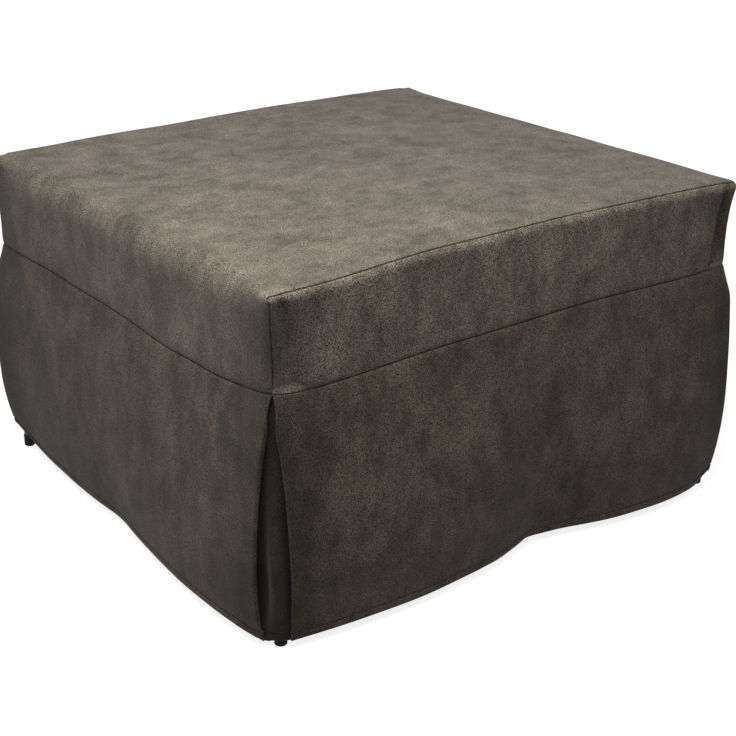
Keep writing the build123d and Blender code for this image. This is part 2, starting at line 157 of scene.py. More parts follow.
# Hang of an underlay above its hem: share of the drop, and millimetres out of its nominal plane
UNDERLAY_LINE = ((0, -9), (0.1, -4), (0.3, -1.5), (0.6, -0.5), (0.88, -0.5))

# Share of the drop over which the round of an upright corner dies out below the seam, and the
# power of the drop by which a panel comes to the line of its hem
CORNER_FADE = 0.16
HEM_POWER = 1.9

# Cells of the cloth's mesh where it is seamed or hemmed
FINE_CELL = 0.8 * MM

# The give of soft cloth: broad and small waves, then the puckers of the front and back seams.
# Height in millimetres, size of a patch in metres, seed
WAVES = ((1.3, 0.17, 3), (0.5, 0.06, 5))
PUCKERS, PUCKER_REACH = (0.5, 0.016, 7), 12 * MM

# How far the padded edges draw in near the upright corners, in millimetres, and its reach
CORNER_DRAW, CORNER_REACH = 1.5, 60 * MM

# The hollow on the end walls: depth in millimetres, place in from the upright edge, width at the
# skirt, and how much narrower it is at the seat
HOLLOW_DEPTH, HOLLOW_START, HOLLOW_WIDTH, HOLLOW_TAPER = 11, 5 * MM, 30 * MM, 17 * MM

# Ears of spare cloth at the top corners, in millimetres, and their reach
EAR_FRONT_RIGHT, EAR_SIDEWAYS, EAR_FORWARDS, EAR_BACKWARDS = 8.0, 1.5, 2.0, 0.5
EAR_REACH = 30 * MM

# Corners at which the hem is caught up: signs of the corner, height in millimetres, reach
CAUGHT_CORNERS = ((-1, 1, 25, 55 * MM), (1, -1, 9, 30 * MM))

# The groove that the line of stitches presses into the hem: its depth in a panel and in an
# underlay, and its width
PANEL_GROOVE, UNDERLAY_GROOVE, GROOVE_WIDTH = 2 * MM, 1.5 * MM, 1.1 * MM

# Red, green and blue kept beside the seat's colours, as painted light and shade: painted shade on
# the skirt, painted light on the end walls, and deep painted shade inside the pleats
SKIRT_PAINTED_SHADE = (0.625, 0.595, 0.56)
WALL_PAINTED_LIGHT = (1.12, 1.12, 1.12)
UNDERLAY_PAINTED_SHADE = (0.33, 0.315, 0.30)

# How much more crisply the clouds and the grain show there than on the seat
WALL_CRISP, SKIRT_CRISP = 1.3, 1.4

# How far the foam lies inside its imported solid, how far into that room the ticking may swell, and
# how far the edge cords lie in from the faces
FOAM_INSET = (5 * MM, 5 * MM, 2.4 * MM)
FOAM_ROOM = (4.5 * MM, 4.5 * MM, 2 * MM)
CORD_INSET = 7 * MM

# Slow waves of the foam's faces: height in millimetres, size of a patch in metres, seed
FOAM_WAVES = (0.6, 0.12, 11)

# How far the foam falls off towards the left and right edges of its upper face
FOAM_CROWNS = {"base": 0, "middle": 0, "head": 8 * MM}

# The ticking's cloth simulation: cell size, steps, pressure, how much more cloth there is than
# foam, and the furthest that a point may move
TICKING_CELL = 10 * MM
TICKING_FRAMES = 20
TICKING_PRESSURE = 4
TICKING_EASE = 0.02
TICKING_CAP = 6 * MM

# The lamp: its place, what it is aimed at and how wide it is, in metres
KEY_PLACE, KEY_AIM, KEY_SIZE = (-0.58, -0.48, 1.55), (0, 0, 0.3), 1.0

# How far the floor reaches on each side, in metres, and how bright its paper is to the eye
FLOOR_REACH = 12.0
PAPER_GLOW = 0.82


def size_field(name, description, millimetres):
    """A length for the sidebar, with its default in millimetres."""
    return FloatProperty(
        name=name, description=description, default=millimetres * MM, unit="LENGTH")


def linear(code):
    """Linear colour of an sRGB hex code, with alpha."""
    parts = [int(code[i:i + 2], 16) / 255 for i in (1, 3, 5)]
    return tuple(
        p / 12.92 if p <= 0.04045 else ((p + 0.055) / 1.055) ** 2.4 for p in parts) + (1.0,)


def colour_field(name, description, code):
    """A colour for the sidebar, with its default as an sRGB hex code."""
    return FloatVectorProperty(
        name=name, description=description, subtype="COLOR", size=4, default=linear(code))


class CoverSizes(bpy.types.PropertyGroup):
    """Sizes of the seat and the walls of the cover."""

    cloth: size_field("Cloth", "Thickness of the cloth", 1.2)
    shoulder: size_field("Shoulder", "Radius where the seat bends down into the side walls", 28)
    right_shoulder: FloatProperty(
        name="Right shoulder", description="Roundness of the right shoulder beside the left one",
        default=0.25, subtype="FACTOR")
    seam_shoulder: size_field(
        "Shoulder at the seams", "The same radius where the bend meets a seam", 5)
    shoulder_run: size_field(
        "Shoulder run", "Length over which the shoulder sharpens to a seam", 60)
    crown: size_field("Crown", "Rise of the seat from its sides to its middle", 8)
    top_roll: size_field("Top roll", "Radius of the padded edge along the front and back seams", 11)
    corner_roll: size_field(
        "Corner roll", "Radius of the upright corners where the skirt is sewn on", 20)
    seam_turn: size_field("Seam turn", "Radius of a cloth edge turned into a seam", 0.8)
    seam_gap: size_field("Seam gap", "Opening of a drawn seam", 1.6)
    seam_lip: size_field("Seam allowance", "Cloth turned inside at a seam", 5)
    seam_pinch: size_field("Seam pinch", "How far the skirt seam draws the cloth in", 1.6)
    pinch_reach: size_field(
        "Pinch reach", "Distance from the skirt seam at which the draw dies out", 4)


class SkirtSizes(bpy.types.PropertyGroup):
    """Sizes of the hanging panels and their pleats."""

    belly: FloatProperty(
        name="Belly", description="Share of the full belly of the hanging panels", default=1.0,
        subtype="FACTOR")
    fold_radius: size_field("Fold radius", "Radius of a panel's upright folded edge", 3)
    pleat_return: size_field("Pleat return", "Cloth folded back behind a panel's edge", 52)
    pleat_bend: size_field(
        "Pleat bend", "Radius of the underlay where it goes round a corner", 16)
    hem_depth: size_field("Hem depth", "Cloth turned up at the hem", 14)
    hem_radius: size_field("Hem radius", "Radius of the fold at the hem", 1.3)
    stitch_height: size_field("Stitch line", "Height of the stitches above the edge", 11)
    stitch_pitch: size_field("Stitch pitch", "Distance from one stitch to the next", 3.6)
    stitch_length: size_field("Stitch length", "Visible length of a stitch", 2.7)
    thread_radius: size_field("Thread radius", "Radius of the sewing thread", 0.4)


class FinishColours(bpy.types.PropertyGroup):
    """Colours of the object's finishes."""

    suede: colour_field("Microfibre", "Napped face of the cover's cloth", "#797064")
    suede_shade: colour_field(
        "Microfibre, laid nap", "Where the nap lies away from the eye", "#514A40")
    thread: colour_field("Thread", "Sewing thread", "#2E2924")
    ticking: colour_field("Ticking", "Cloth of the mattress sections", "#D9D4CA")
    slat: colour_field("Slat wood", "Light wood of the slats", "#D2B48A")
    frame_coat: colour_field("Frame coat", "Powder coat of the steel frames", "#1E1E20")
    zinc: colour_field("Zinc", "Plating of rivets, washers, pins and screws", "#C3C5C9")
    plastic: colour_field("Plastic", "Moulded feet, plugs and slat holders", "#080808")


class StudioSettings(bpy.types.PropertyGroup):
    """Light levels of the studio."""

    sky: FloatProperty(
        name="Sky", description="Brightness of the soft light all round", default=0.365, min=0)
    key: FloatProperty(
        name="Key", description="Power of the large lamp above the object", default=19.6, min=0,
        unit="POWER")
    floor_bounce: FloatProperty(
        name="Floor bounce", description="Share of light that the floor returns to the object",
        default=0.12, min=0, max=1, subtype="FACTOR")


def settings(name):
    """One of this file's property groups in the scene."""
    return getattr(bpy.context.scene, "ottoman_" + name)


def through(points, places):
    """A smooth line through (place, value) points, read at the given places."""
    x, y = np.array(points, float).T
    slope = np.gradient(y, x)
    places = np.clip(places, x[0], x[-1])
    left = np.clip(np.searchsorted(x, places) - 1, 0, len(x) - 2)
    step = x[left + 1] - x[left]
    t = (places - x[left]) / step
    rise = 3 * t**2 - 2 * t**3
    return (
        y[left] * (1 - rise) + y[left + 1] * rise
        + step * (slope[left] * (t - 2 * t**2 + t**3) + slope[left + 1] * (t**3 - t**2))
    )


def ease(t):
    """Smooth rise from 0 to 1."""
    t = np.clip(t, 0, 1)
    return t * t * (3 - 2 * t)


def stations(length, fine, coarse, near=()):
    """Places from 0 to a length, close together near both ends and near the given places."""
    fine_line = np.linspace(0, length, 4000)
    away = np.min([np.abs(fine_line - middle) for middle in (0, length, *near)], axis=0)
    step = np.minimum(coarse, fine + 0.3 * away)
    count = np.concatenate([[0], np.cumsum(fine_line[1] * 2 / (step[1:] + step[:-1]))])
    return np.interp(np.linspace(0, count[-1], int(count[-1]) + 2), count, fine_line)


def patches(points, size, seed):
    """Smooth noise from -1 to 1 over patches of a size, the same at a place in every run."""
    table = np.random.RandomState(seed).uniform(-1, 1, (32, 32, 32))
    q = np.asarray(points) / size + 16
    cell = np.floor(q).astype(int)
    f = ease(q - cell)
    total = 0
    for corner in np.ndindex(2, 2, 2):
        weight = np.prod(np.where(corner, f, 1 - f), axis=-1)
        i, j, k = np.moveaxis((cell + corner) % 32, -1, 0)
        total = total + weight * table[i, j, k]
    return total


def seam_edge(sizes, w, roll=1.0, angle=0.0):
    """Edge of a panel at cloth distance w from its seam, and beyond it where w is negative.

    The cloth rolls through the angle, then turns into the seam. Gives the distance from the
    panel's nominal edge and the depth below its nominal face.
    """
    turn = sizes.seam_turn
    end = np.maximum(angle - (turn + sizes.seam_gap / 2) / roll, 0)
    phi = np.clip(end - np.maximum(w, 0) / roll, 0, None)
    along = roll * (1 - np.sin(phi)) + np.maximum(w - roll * end, 0)
    along = np.where(end > 0, along, np.maximum(w, 0))
    depth = np.where(end > 0, roll * (1 - np.cos(phi)), 0)
    past = np.maximum(-w, 0)
    psi = np.minimum(past / turn, np.pi / 2)
    lip = np.maximum(past - turn * np.pi / 2, 0)
    ahead, below = turn * np.sin(psi), turn * (1 - np.cos(psi)) + lip
    along = along - ahead * np.cos(end) + below * np.sin(end)
    depth = depth + ahead * np.sin(end) + below * np.cos(end)
    return along, depth


def turned_in(sizes):
    """Cloth distances past a seam: the turn in four steps, then the allowance."""
    turn = sizes.seam_turn * np.pi / 2
    return -np.array([turn + sizes.seam_lip, turn, turn * 0.75, turn * 0.5, turn * 0.25])


def seam_side(sizes):
    """Distance of a flat edge from the middle of its seam."""
    return sizes.seam_turn + sizes.seam_gap / 2


def grid_quads(rows, columns, first=0):
    """Quads of a grid whose corners are numbered row by row."""
    index = first + np.arange(rows * columns).reshape(rows, columns)
    quads = [index[:-1, :-1], index[:-1, 1:], index[1:, 1:], index[1:, :-1]]
    return np.stack([q.ravel() for q in quads], axis=1)


def shell(points, quads, thickness):
    """Close a sheet of quads into cloth of a thickness, laid on its inner side."""
    corners = points[quads]
    normal = np.cross(corners[:, 2] - corners[:, 0], corners[:, 3] - corners[:, 1])
    normal /= np.linalg.norm(normal, axis=1, keepdims=True) + 1e-12
    total = np.zeros_like(points)
    np.add.at(total, quads.ravel(), np.repeat(normal, 4, axis=0))
    total /= np.linalg.norm(total, axis=1, keepdims=True) + 1e-12
    inner = points - total * thickness
    count = len(points)
    edges = np.concatenate([quads[:, [k, (k + 1) % 4]] for k in range(4)])
    forward = edges[:, 0] * count + edges[:, 1]
    border = edges[~np.isin(forward, edges[:, 1] * count + edges[:, 0])]
    first, second = border.T
    sides = np.column_stack([second, first, first + count, second + count])
    return np.concatenate([points, inner]), np.concatenate([quads, quads[:, ::-1] + count, sides])


def mesh_object(name, points, faces, material, smooth=True):
    """A mesh object of one material."""
    mesh = bpy.data.meshes.new(name)
    mesh.from_pydata(points, [], faces)
    mesh.polygons.foreach_set("use_smooth", [smooth] * len(mesh.polygons))
    mesh.validate()
    mesh.materials.append(material)
    item = bpy.data.objects.new(name, mesh)
    bpy.context.scene.collection.objects.link(item)
    return item


def make_piece(name, points, faces, material, body="cover"):
    """A smooth mesh object that rides on a body."""
    piece = mesh_object(name, points.tolist(), faces.tolist(), material)
    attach(piece, body)
    return piece


def place(side, along, out, z):
    """Points in the frame from a side's own terms."""
    direction, outward, _, reach = SIDES[side]
    x = along * direction[0] + (reach + out) * outward[0]
    y = along * direction[1] + (reach + out) * outward[1]
    return np.stack(np.broadcast_arrays(x, y, z), axis=-1)


def seam_drop(x, y):
    """Drop of the skirt seam at a place in plan, blended between the four sides."""
    u, v = np.clip(x / HALF_WIDTH, -1, 1), np.clip(y / HALF_DEPTH, -1, 1)
    s, t = (u + 1) / 2, (v + 1) / 2
    ends = {side: (line[0][1], line[-1][1]) for side, line in SEAM_LINES.items()}
    flat = ((1 - s) * (1 - t) * ends["front"][0] + s * (1 - t) * ends["front"][1]
            + s * t * ends["back"][0] + (1 - s) * t * ends["back"][1])
    return ((1 - t) * through(SEAM_LINES["front"], u) + t * through(SEAM_LINES["back"], -u)
            + s * through(SEAM_LINES["right"], v) + (1 - s) * through(SEAM_LINES["left"], -v)
            - flat) * MM


def relax(points):
    """The give of soft cloth: broad waves, hollows beside the corners and a sagging skirt seam."""
    p = np.asarray(points, float)
    x, y, z = np.moveaxis(p, -1, 0)
    # Outwards, turning quickly from one face to the next at the edges
    sharp = 8
    side_x = np.clip(np.abs(x) / HALF_WIDTH, 0, 1) ** sharp * np.sign(x)
    side_y = np.clip(np.abs(y) / HALF_DEPTH, 0, 1) ** sharp * np.sign(y)
    rise = np.clip((z - SEAM_Z) / (TOP_Z - SEAM_Z), 0, 1)
    outward = np.stack([side_x, side_y, rise**sharp], axis=-1)
    outward /= np.linalg.norm(outward, axis=-1, keepdims=True) + 1e-9
    wave = sum(height * patches(p, size, seed) for height, size, seed in WAVES)
    # Puckers where the front and back seams gather the cloth
    to_seam = np.hypot(HALF_DEPTH - np.abs(y), TOP_Z - z)
    wave += PUCKERS[0] * patches(p, *PUCKERS[1:]) * np.exp(-to_seam / PUCKER_REACH)
    # The padded edges draw in between the seat and the skirt seam near the upright corners
    from_corner = np.hypot(HALF_WIDTH - np.abs(x), HALF_DEPTH - np.abs(y))
    wave -= CORNER_DRAW * np.exp(-(from_corner / CORNER_REACH) ** 2) * np.sin(np.pi * rise)
    # A hollow on the front and back walls, one finger in from each upright seam
    inward = HALF_WIDTH - np.abs(x) - HOLLOW_START
    beside = through(HOLLOW_LINE, inward / (HOLLOW_WIDTH - HOLLOW_TAPER * rise))
    low_fade, high_fade = 0.06, 0.2
    fade = ease(rise / low_fade) * ease((1 - rise) / high_fade)
    wave -= HOLLOW_DEPTH * beside * np.abs(side_y) * fade
    p = p + outward * (wave * MM)[..., None]
    # Ears of spare cloth at the top corners
    ear = np.exp(-(from_corner / EAR_REACH) ** 2) * np.exp(-((TOP_Z - z) / EAR_REACH) ** 2) * MM
    p[..., 0] += np.where((x > 0) & (y < 0), EAR_FRONT_RIGHT, EAR_SIDEWAYS) * ear * np.sign(x)
    p[..., 1] += np.where(y < 0, EAR_FORWARDS, EAR_BACKWARDS) * ear * np.sign(y)
    # The seat stands fuller along its back seam and its right edge
    u, v = np.clip(x / HALF_WIDTH, -1, 1), np.clip(y / HALF_DEPTH, -1, 1)
    s, t = (u + 1) / 2, (v + 1) / 2
    fuller = t * through(BACK_RISE, u) + s * through(RIGHT_RISE, v) - s * t * BACK_RISE[-1][1]
    p[..., 2] += fuller * MM * rise**3
    hang = np.clip((z - HEM_Z) / (SEAM_Z - HEM_Z), 0, 1)
    p[..., 2] -= seam_drop(x, y) * np.where(z > SEAM_Z, 1 - rise, hang)
    # The hem is caught up at the back left corner, and a little at the front right one
    caught = sum(
        height * np.exp(-(np.hypot(x - sx * HALF_WIDTH, y - sy * HALF_DEPTH) / reach) ** 2)
        for sx, sy, height, reach in CAUGHT_CORNERS)
    p[..., 2] += MM * caught * (1 - hang) ** 2
    return p


def seat_outline(sizes, radius):
    """End view of the seat cloth from its left seam over the top to its right seam.

    Gives points (x, z), inward normals and the distance along the cloth.
    """
    side_top = TOP_Z - sizes.crown
    level = side_top - radius
    bottom = SEAM_Z + seam_side(sizes)
    turn = np.linspace(0, np.pi / 2, 50)
    x = np.linspace(radius - HALF_WIDTH, HALF_WIDTH - radius, 500)
    top = side_top + through(CROWN_LINE, x / HALF_WIDTH) * MM
    wall = np.linspace(bottom, level, 80)[:-1]
    left = np.column_stack([
        radius - HALF_WIDTH - radius * np.cos(turn), level + radius * np.sin(turn)])[:-1]
    points = np.concatenate([
        np.column_stack([np.full_like(wall, -HALF_WIDTH), wall]), left,
        np.column_stack([x, top]), (left * (-1, 1))[::-1],
        np.column_stack([np.full_like(wall, HALF_WIDTH), wall[::-1]])])
    step = np.linalg.norm(np.diff(points, axis=0), axis=1)
    length = np.concatenate([[0], np.cumsum(step)])
    even = np.linspace(0, length[-1], 2000)
    points = np.column_stack([np.interp(even, length, points[:, k]) for k in (0, 1)])
    for _ in range(12):
        points[1:-1] = (points[:-2] + 2 * points[1:-1] + points[2:]) / 4
    tangent = np.gradient(points, axis=0)
    tangent /= np.linalg.norm(tangent, axis=1, keepdims=True)
    normal = np.column_stack([tangent[:, 1], -tangent[:, 0]])
    return points, normal, even


def roll_at(sizes, z):
    """Radius of the padded edge at the front and back: small at the seat, larger at the skirt."""
    start, run = 30 * MM, 80 * MM
    wider = sizes.corner_roll - sizes.top_roll
    return sizes.top_roll + wider * ease((TOP_Z - start - z) / run)


def seam_angle(sizes, z):
    """How far round the padded edge the seam lies: near the crest on top, midway at the corners."""
    below, run = 9 * MM, 6 * MM
    above = ease((z - (TOP_Z - sizes.crown - below)) / run)
    return math.radians(45) - math.radians(20) * above


def end_view(sizes, radius, share):
    """Outline of the seat cloth at shares of its length, with the edges turned in at both ends."""
    outline, normal, length = seat_outline(sizes, radius)
    at = share * length[-1]
    centre = np.column_stack([np.interp(at, length, outline[:, k]) for k in (0, 1)])
    inward = np.column_stack([np.interp(at, length, normal[:, k]) for k in (0, 1)])
    from_end = np.minimum(at, length[-1] - at)
    centre += inward * (sizes.seam_pinch * np.exp(-from_end / sizes.pinch_reach))[:, None]
    lips = turned_in(sizes)
    along, depth = seam_edge(sizes, lips)
    ends = [np.column_stack([corner[0] + sign * depth, corner[1] + along])
            for corner, sign in ((centre[0], 1), (centre[-1], -1))]
    centre = np.concatenate([ends[0], centre, ends[1][::-1]])
    inward = np.concatenate([
        np.repeat(inward[:1], len(lips), 0), inward, np.repeat(inward[-1:], len(lips), 0)])
    return centre, inward, length[-1]


def sew_seat(sizes, material):
    """The seat and both side walls: one cloth, seamed to the end walls and the skirt."""
    wall = TOP_Z - sizes.crown - SEAM_Z
    _, _, length = seat_outline(sizes, sizes.seam_shoulder)
    inside = stations(length[-1], FINE_CELL, 4.5 * MM, near=(wall, length[-1] - wall))
    share = inside / length[-1]
    sharp, sharp_inward, _ = end_view(sizes, sizes.seam_shoulder, share)
    soft, soft_inward, cut = end_view(sizes, sizes.shoulder, share)
    roll, angle = roll_at(sizes, sharp[:, 1]), seam_angle(sizes, sharp[:, 1])
    lips = turned_in(sizes)
    rim = 80 * MM
    edge = stations(2 * rim, FINE_CELL, 4 * MM)
    near = np.concatenate([lips, edge[edge < rim]])[:, None]
    along, depth = seam_edge(sizes, near, roll, angle)
    rest = np.linspace(0, 1, 70)[1:, None]
    y = np.concatenate([along, along[-1] + (HALF_DEPTH - along[-1]) * rest]) - HALF_DEPTH
    depth = np.concatenate([depth, np.zeros((len(rest), depth.shape[1])) + depth[-1]])
    y, depth = np.concatenate([y, -y[-2::-1]]), np.concatenate([depth, depth[-2::-1]])
    soften = ease((HALF_DEPTH - np.abs(y)) / sizes.shoulder_run)
    soften = (soften * np.where(sharp[:, 0] > 0, sizes.right_shoulder, 1))[..., None]
    centre = sharp + (soft - sharp) * soften
    inward = sharp_inward + (soft_inward - sharp_inward) * soften
    x = centre[..., 0] + inward[..., 0] * depth
    z = centre[..., 1] + inward[..., 1] * depth
    points = relax(np.stack([x, y, z], axis=-1))
    rows, columns = points.shape[:2]
    closed = shell(points.reshape(-1, 3), grid_quads(rows, columns), sizes.cloth)
    piece = make_piece("seat_cloth", *closed, material)
    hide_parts("cover_top")
    return piece


def sew_wall(sizes, side, material):
    """The front or back wall, seamed to the seat cloth round its top and sides."""
    outline, normal, _ = seat_outline(sizes, sizes.seam_shoulder)
    facing = -1 if side == "front" else 1
    roll = roll_at(sizes, outline[:, 1])
    angle = math.radians(90) - seam_angle(sizes, outline[:, 1])
    edge, _ = seam_edge(sizes, 0.0, roll, angle)
    border = outline + normal * edge[:, None]
    start = TOP_Z - sizes.crown - sizes.seam_shoulder
    on_top = outline[:, 1] > start
    upright = ~on_top & (outline[:, 0] < 0)
    half_top = -border[on_top][0, 0]
    u = stations(2 * half_top, FINE_CELL, 5 * MM) - half_top
    top_z = np.interp(u, border[on_top][:, 0], border[on_top][:, 1])
    bottom = SEAM_Z + seam_side(sizes)
    height = stations(TOP_Z - bottom, FINE_CELL, 4 * MM)
    z = bottom + (top_z - bottom) * (height / height[-1])[:, None]
    lips = turned_in(sizes)
    lip_along, lip_depth = seam_edge(sizes, lips)
    z = np.concatenate([np.repeat((bottom + lip_along)[:, None], len(u), 1), z])
    half_below = np.interp(z, border[upright][:, 1], -border[upright][:, 0])
    half = np.where(z < start, half_below, half_top)
    x = u / half_top * half
    low = np.maximum(z, bottom)
    flat_points = np.stack([x, low], axis=-1).reshape(-1, 2)
    nearest = np.concatenate([
        np.argmin(((part[:, None] - outline[None]) ** 2).sum(-1), axis=1)
        for part in np.array_split(flat_points, 60)])
    distance = ((flat_points - outline[nearest]) * normal[nearest]).sum(-1).reshape(x.shape)
    near_roll = roll[nearest].reshape(x.shape)
    inside = np.clip(near_roll - distance, 0, near_roll)
    depth = near_roll - np.sqrt(near_roll**2 - inside**2)
    depth += np.concatenate([lip_depth, np.zeros(len(height))])[:, None]
    depth += sizes.seam_pinch * np.exp(-np.maximum(z - bottom, 0) / sizes.pinch_reach)
    grid = np.stack([x, facing * (HALF_DEPTH - depth), z], axis=-1)
    rows, columns = x.shape
    chain = [(j, 0) for j in range(rows)] + [(rows - 1, i) for i in range(1, columns)]
    chain += [(j, columns - 1) for j in range(rows - 2, -1, -1)]
    j, i = np.array(chain).T
    previous = j * columns + i
    at = nearest[previous]
    extra = depth[j, i] - seam_edge(sizes, 0.0, roll[at], angle[at])[1]
    points, quads = [grid.reshape(-1, 3)], [grid_quads(rows, columns)]
    for number, w in enumerate(lips[::-1]):
        along, ring_depth = seam_edge(sizes, w, roll[at], angle[at])
        edge_points = outline[at] + normal[at] * along[:, None]
        ring_z = edge_points[:, 1] + z[j, i] - low[j, i]
        points.append(np.column_stack([
            edge_points[:, 0], facing * (HALF_DEPTH - ring_depth - extra), ring_z]))
        current = rows * columns + number * len(chain) + np.arange(len(chain))
        quads.append(np.column_stack([previous[:-1], previous[1:], current[1:], current[:-1]]))
        previous = current
    quads = np.concatenate(quads)
    if side == "back":
        quads = quads[:, ::-1]
    closed = shell(relax(np.concatenate(points)), quads, sizes.cloth)
    piece = make_piece(f"wall_cloth_{side}", *closed, material)
    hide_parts(f"cover_{side}")
    return piece


def pleat_edges(side):
    """Pleat profiles at the start and the end of a side."""
    near = {"front": (PLEAT_NARROW, PLEAT_CLOSED), "left": (PLEAT_CLOSED, PLEAT_WIDE)}
    return near.get(side, (PLEAT_NARROW, PLEAT_NARROW))


def panel_out(cover, skirt_sizes, side, along, drop):
    """How far out of its nominal plane a panel stands, by place along it and share of drop."""
    half = SIDES[side][2]
    hem = through(HEM_LINES[side], along / half) * MM
    belly = skirt_sizes.belly * BELLIES[side] * MM * through(BELLY_LINE, drop)
    out = belly + hem * np.clip(drop, 0, 1) ** HEM_POWER
    corner = np.maximum(cover.corner_roll * (1 - ease(drop / CORNER_FADE)), 1e-6)
    inside = np.clip(corner - (half - np.abs(along)), 0, corner)
    out -= corner - np.sqrt(corner**2 - inside**2)
    return out


def follow_panel(cover, skirt_sizes, side, x, y, drop, out):
    """How far out cloth behind a panel lies: it follows the panel and meets its folded return."""
    fold_depth, stretch = 3.8 * MM, 3 * MM
    edge_clear, edge_run = 4 * MM, 10 * MM
    follow_from = 0.25
    direction, half = SIDES[side][0], SIDES[side][2]
    along = x * direction[0] + y * direction[1]
    start, end = pleat_edges(side)
    first, last = through(start, drop) * MM - half, half - through(end, drop) * MM
    edge = np.where(along < 0, first, last)
    edge_out = panel_out(cover, skirt_sizes, side, edge, drop)
    follow = panel_out(cover, skirt_sizes, side, np.clip(along, first, last), drop) - edge_out
    behind = ease((np.abs(edge) - np.abs(along) - edge_clear) / edge_run)
    meet = np.clip(edge_out - fold_depth - out, 0, stretch) * behind
    return out + (follow + meet) * ease((drop - follow_from) / follow_from)


def hem_rows(skirt_sizes):
    """Rows past the hem's lowest line: round the fold, then up its inner side."""
    radius = skirt_sizes.hem_radius
    turn = np.linspace(0, np.pi, 7)[1:]
    rise = np.array([0.25, 0.5, 0.75, 1.0]) * skirt_sizes.hem_depth
    back = np.concatenate([radius * (1 - np.cos(turn)), np.full(len(rise), 2 * radius)])
    down = np.concatenate([-radius * np.sin(turn), rise])
    return back, down


def sew_panel(cover, skirt_sizes, side, material):
    """One skirt panel: sewn to the seam, folded back at both upright edges and hemmed."""
    half = SIDES[side][2]
    drop_length = SEAM_Z - HEM_Z
    radius = skirt_sizes.hem_radius
    lips = turned_in(cover)
    lip_along, lip_depth = seam_edge(cover, lips)
    start_z = SEAM_Z - seam_side(cover)
    hang = start_z - HEM_Z - radius
    hang = stations(hang, 0.6 * MM, 5 * MM, near=(hang - skirt_sizes.stitch_height + radius,))
    hem_back, hem_rise = hem_rows(skirt_sizes)
    z = np.concatenate([
        start_z - lip_along, start_z - hang,
        HEM_Z + radius + hem_rise])
    drop = np.clip((SEAM_Z - z) / drop_length, 0, 1)
    sunk = np.concatenate([lip_depth, np.zeros(len(hang) + len(hem_back))])
    hem = np.concatenate([np.zeros(len(lips) + len(hang)), hem_back])
    pinch = cover.seam_pinch * np.exp(-drop * drop_length / cover.pinch_reach)
    start, end = pleat_edges(side)
    corner, _ = seam_edge(cover, 0.0, cover.corner_roll, math.radians(45))
    draw = corner * (1 - ease(drop / CORNER_FADE))
    low = draw + through(start, drop) * MM - half
    high = half - draw - through(end, drop) * MM
    share = stations(2 * half, 1.5 * MM, 6 * MM) / (2 * half)
    along = low[:, None] + (high - low)[:, None] * share
    out = panel_out(cover, skirt_sizes, side, along, drop[:, None])
    out -= (sunk + hem + pinch)[:, None]
    # The line of stitches presses into the hem
    height = np.where(hem > 0, 1, z - HEM_Z)[:, None]
    out -= PANEL_GROOVE * np.exp(-((height - skirt_sizes.stitch_height) / GROOVE_WIDTH) ** 2)
    # The folded edges and the pleat returns behind them
    fold = ease(drop / 0.2) * (1 - 0.5 * ease((drop - 0.88) / 0.08))
    pressed = 0.8 * MM
    fold = (pressed + (skirt_sizes.fold_radius - pressed) * fold)[:, None]
    turn = np.linspace(0, np.pi, 9)[1:]
    back = np.linspace(0, 1, 7)[1:] * skirt_sizes.pleat_return
    flat = np.ones(len(back))
    aside = np.concatenate([np.sin(turn), 0 * flat]) * fold - np.concatenate([turn * 0, back])
    behind = np.concatenate([1 - np.cos(turn), 2 * flat]) * fold
    flip = np.concatenate([np.cos(turn), -flat])
    both = []
    for edge, sign in ((0, -1), (-1, 1)):
        at = along[:, [edge]]
        edge_along = at + sign * aside
        level = out[:, [edge]] + hem[:, None] * (1 - flip)
        inner = np.clip(edge_along, low[:, None], high[:, None])
        follow = panel_out(cover, skirt_sizes, side, inner, drop[:, None])
        follow -= panel_out(cover, skirt_sizes, side, at, drop[:, None])
        both.append((edge_along, level - behind + follow))
    along = np.concatenate([both[0][0][:, ::-1], along, both[1][0]], axis=1)
    out = np.concatenate([both[0][1][:, ::-1], out, both[1][1]], axis=1)
    points = relax(place(side, along, out, z[:, None]))
    rows, columns = along.shape
    quads = grid_quads(rows, columns)[:, ::-1]
    closed = shell(points.reshape(-1, 3), quads, cover.cloth)
    piece = make_piece(f"skirt_cloth_{side}", *closed, material)
    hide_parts(f"skirt_{side}")
    return piece


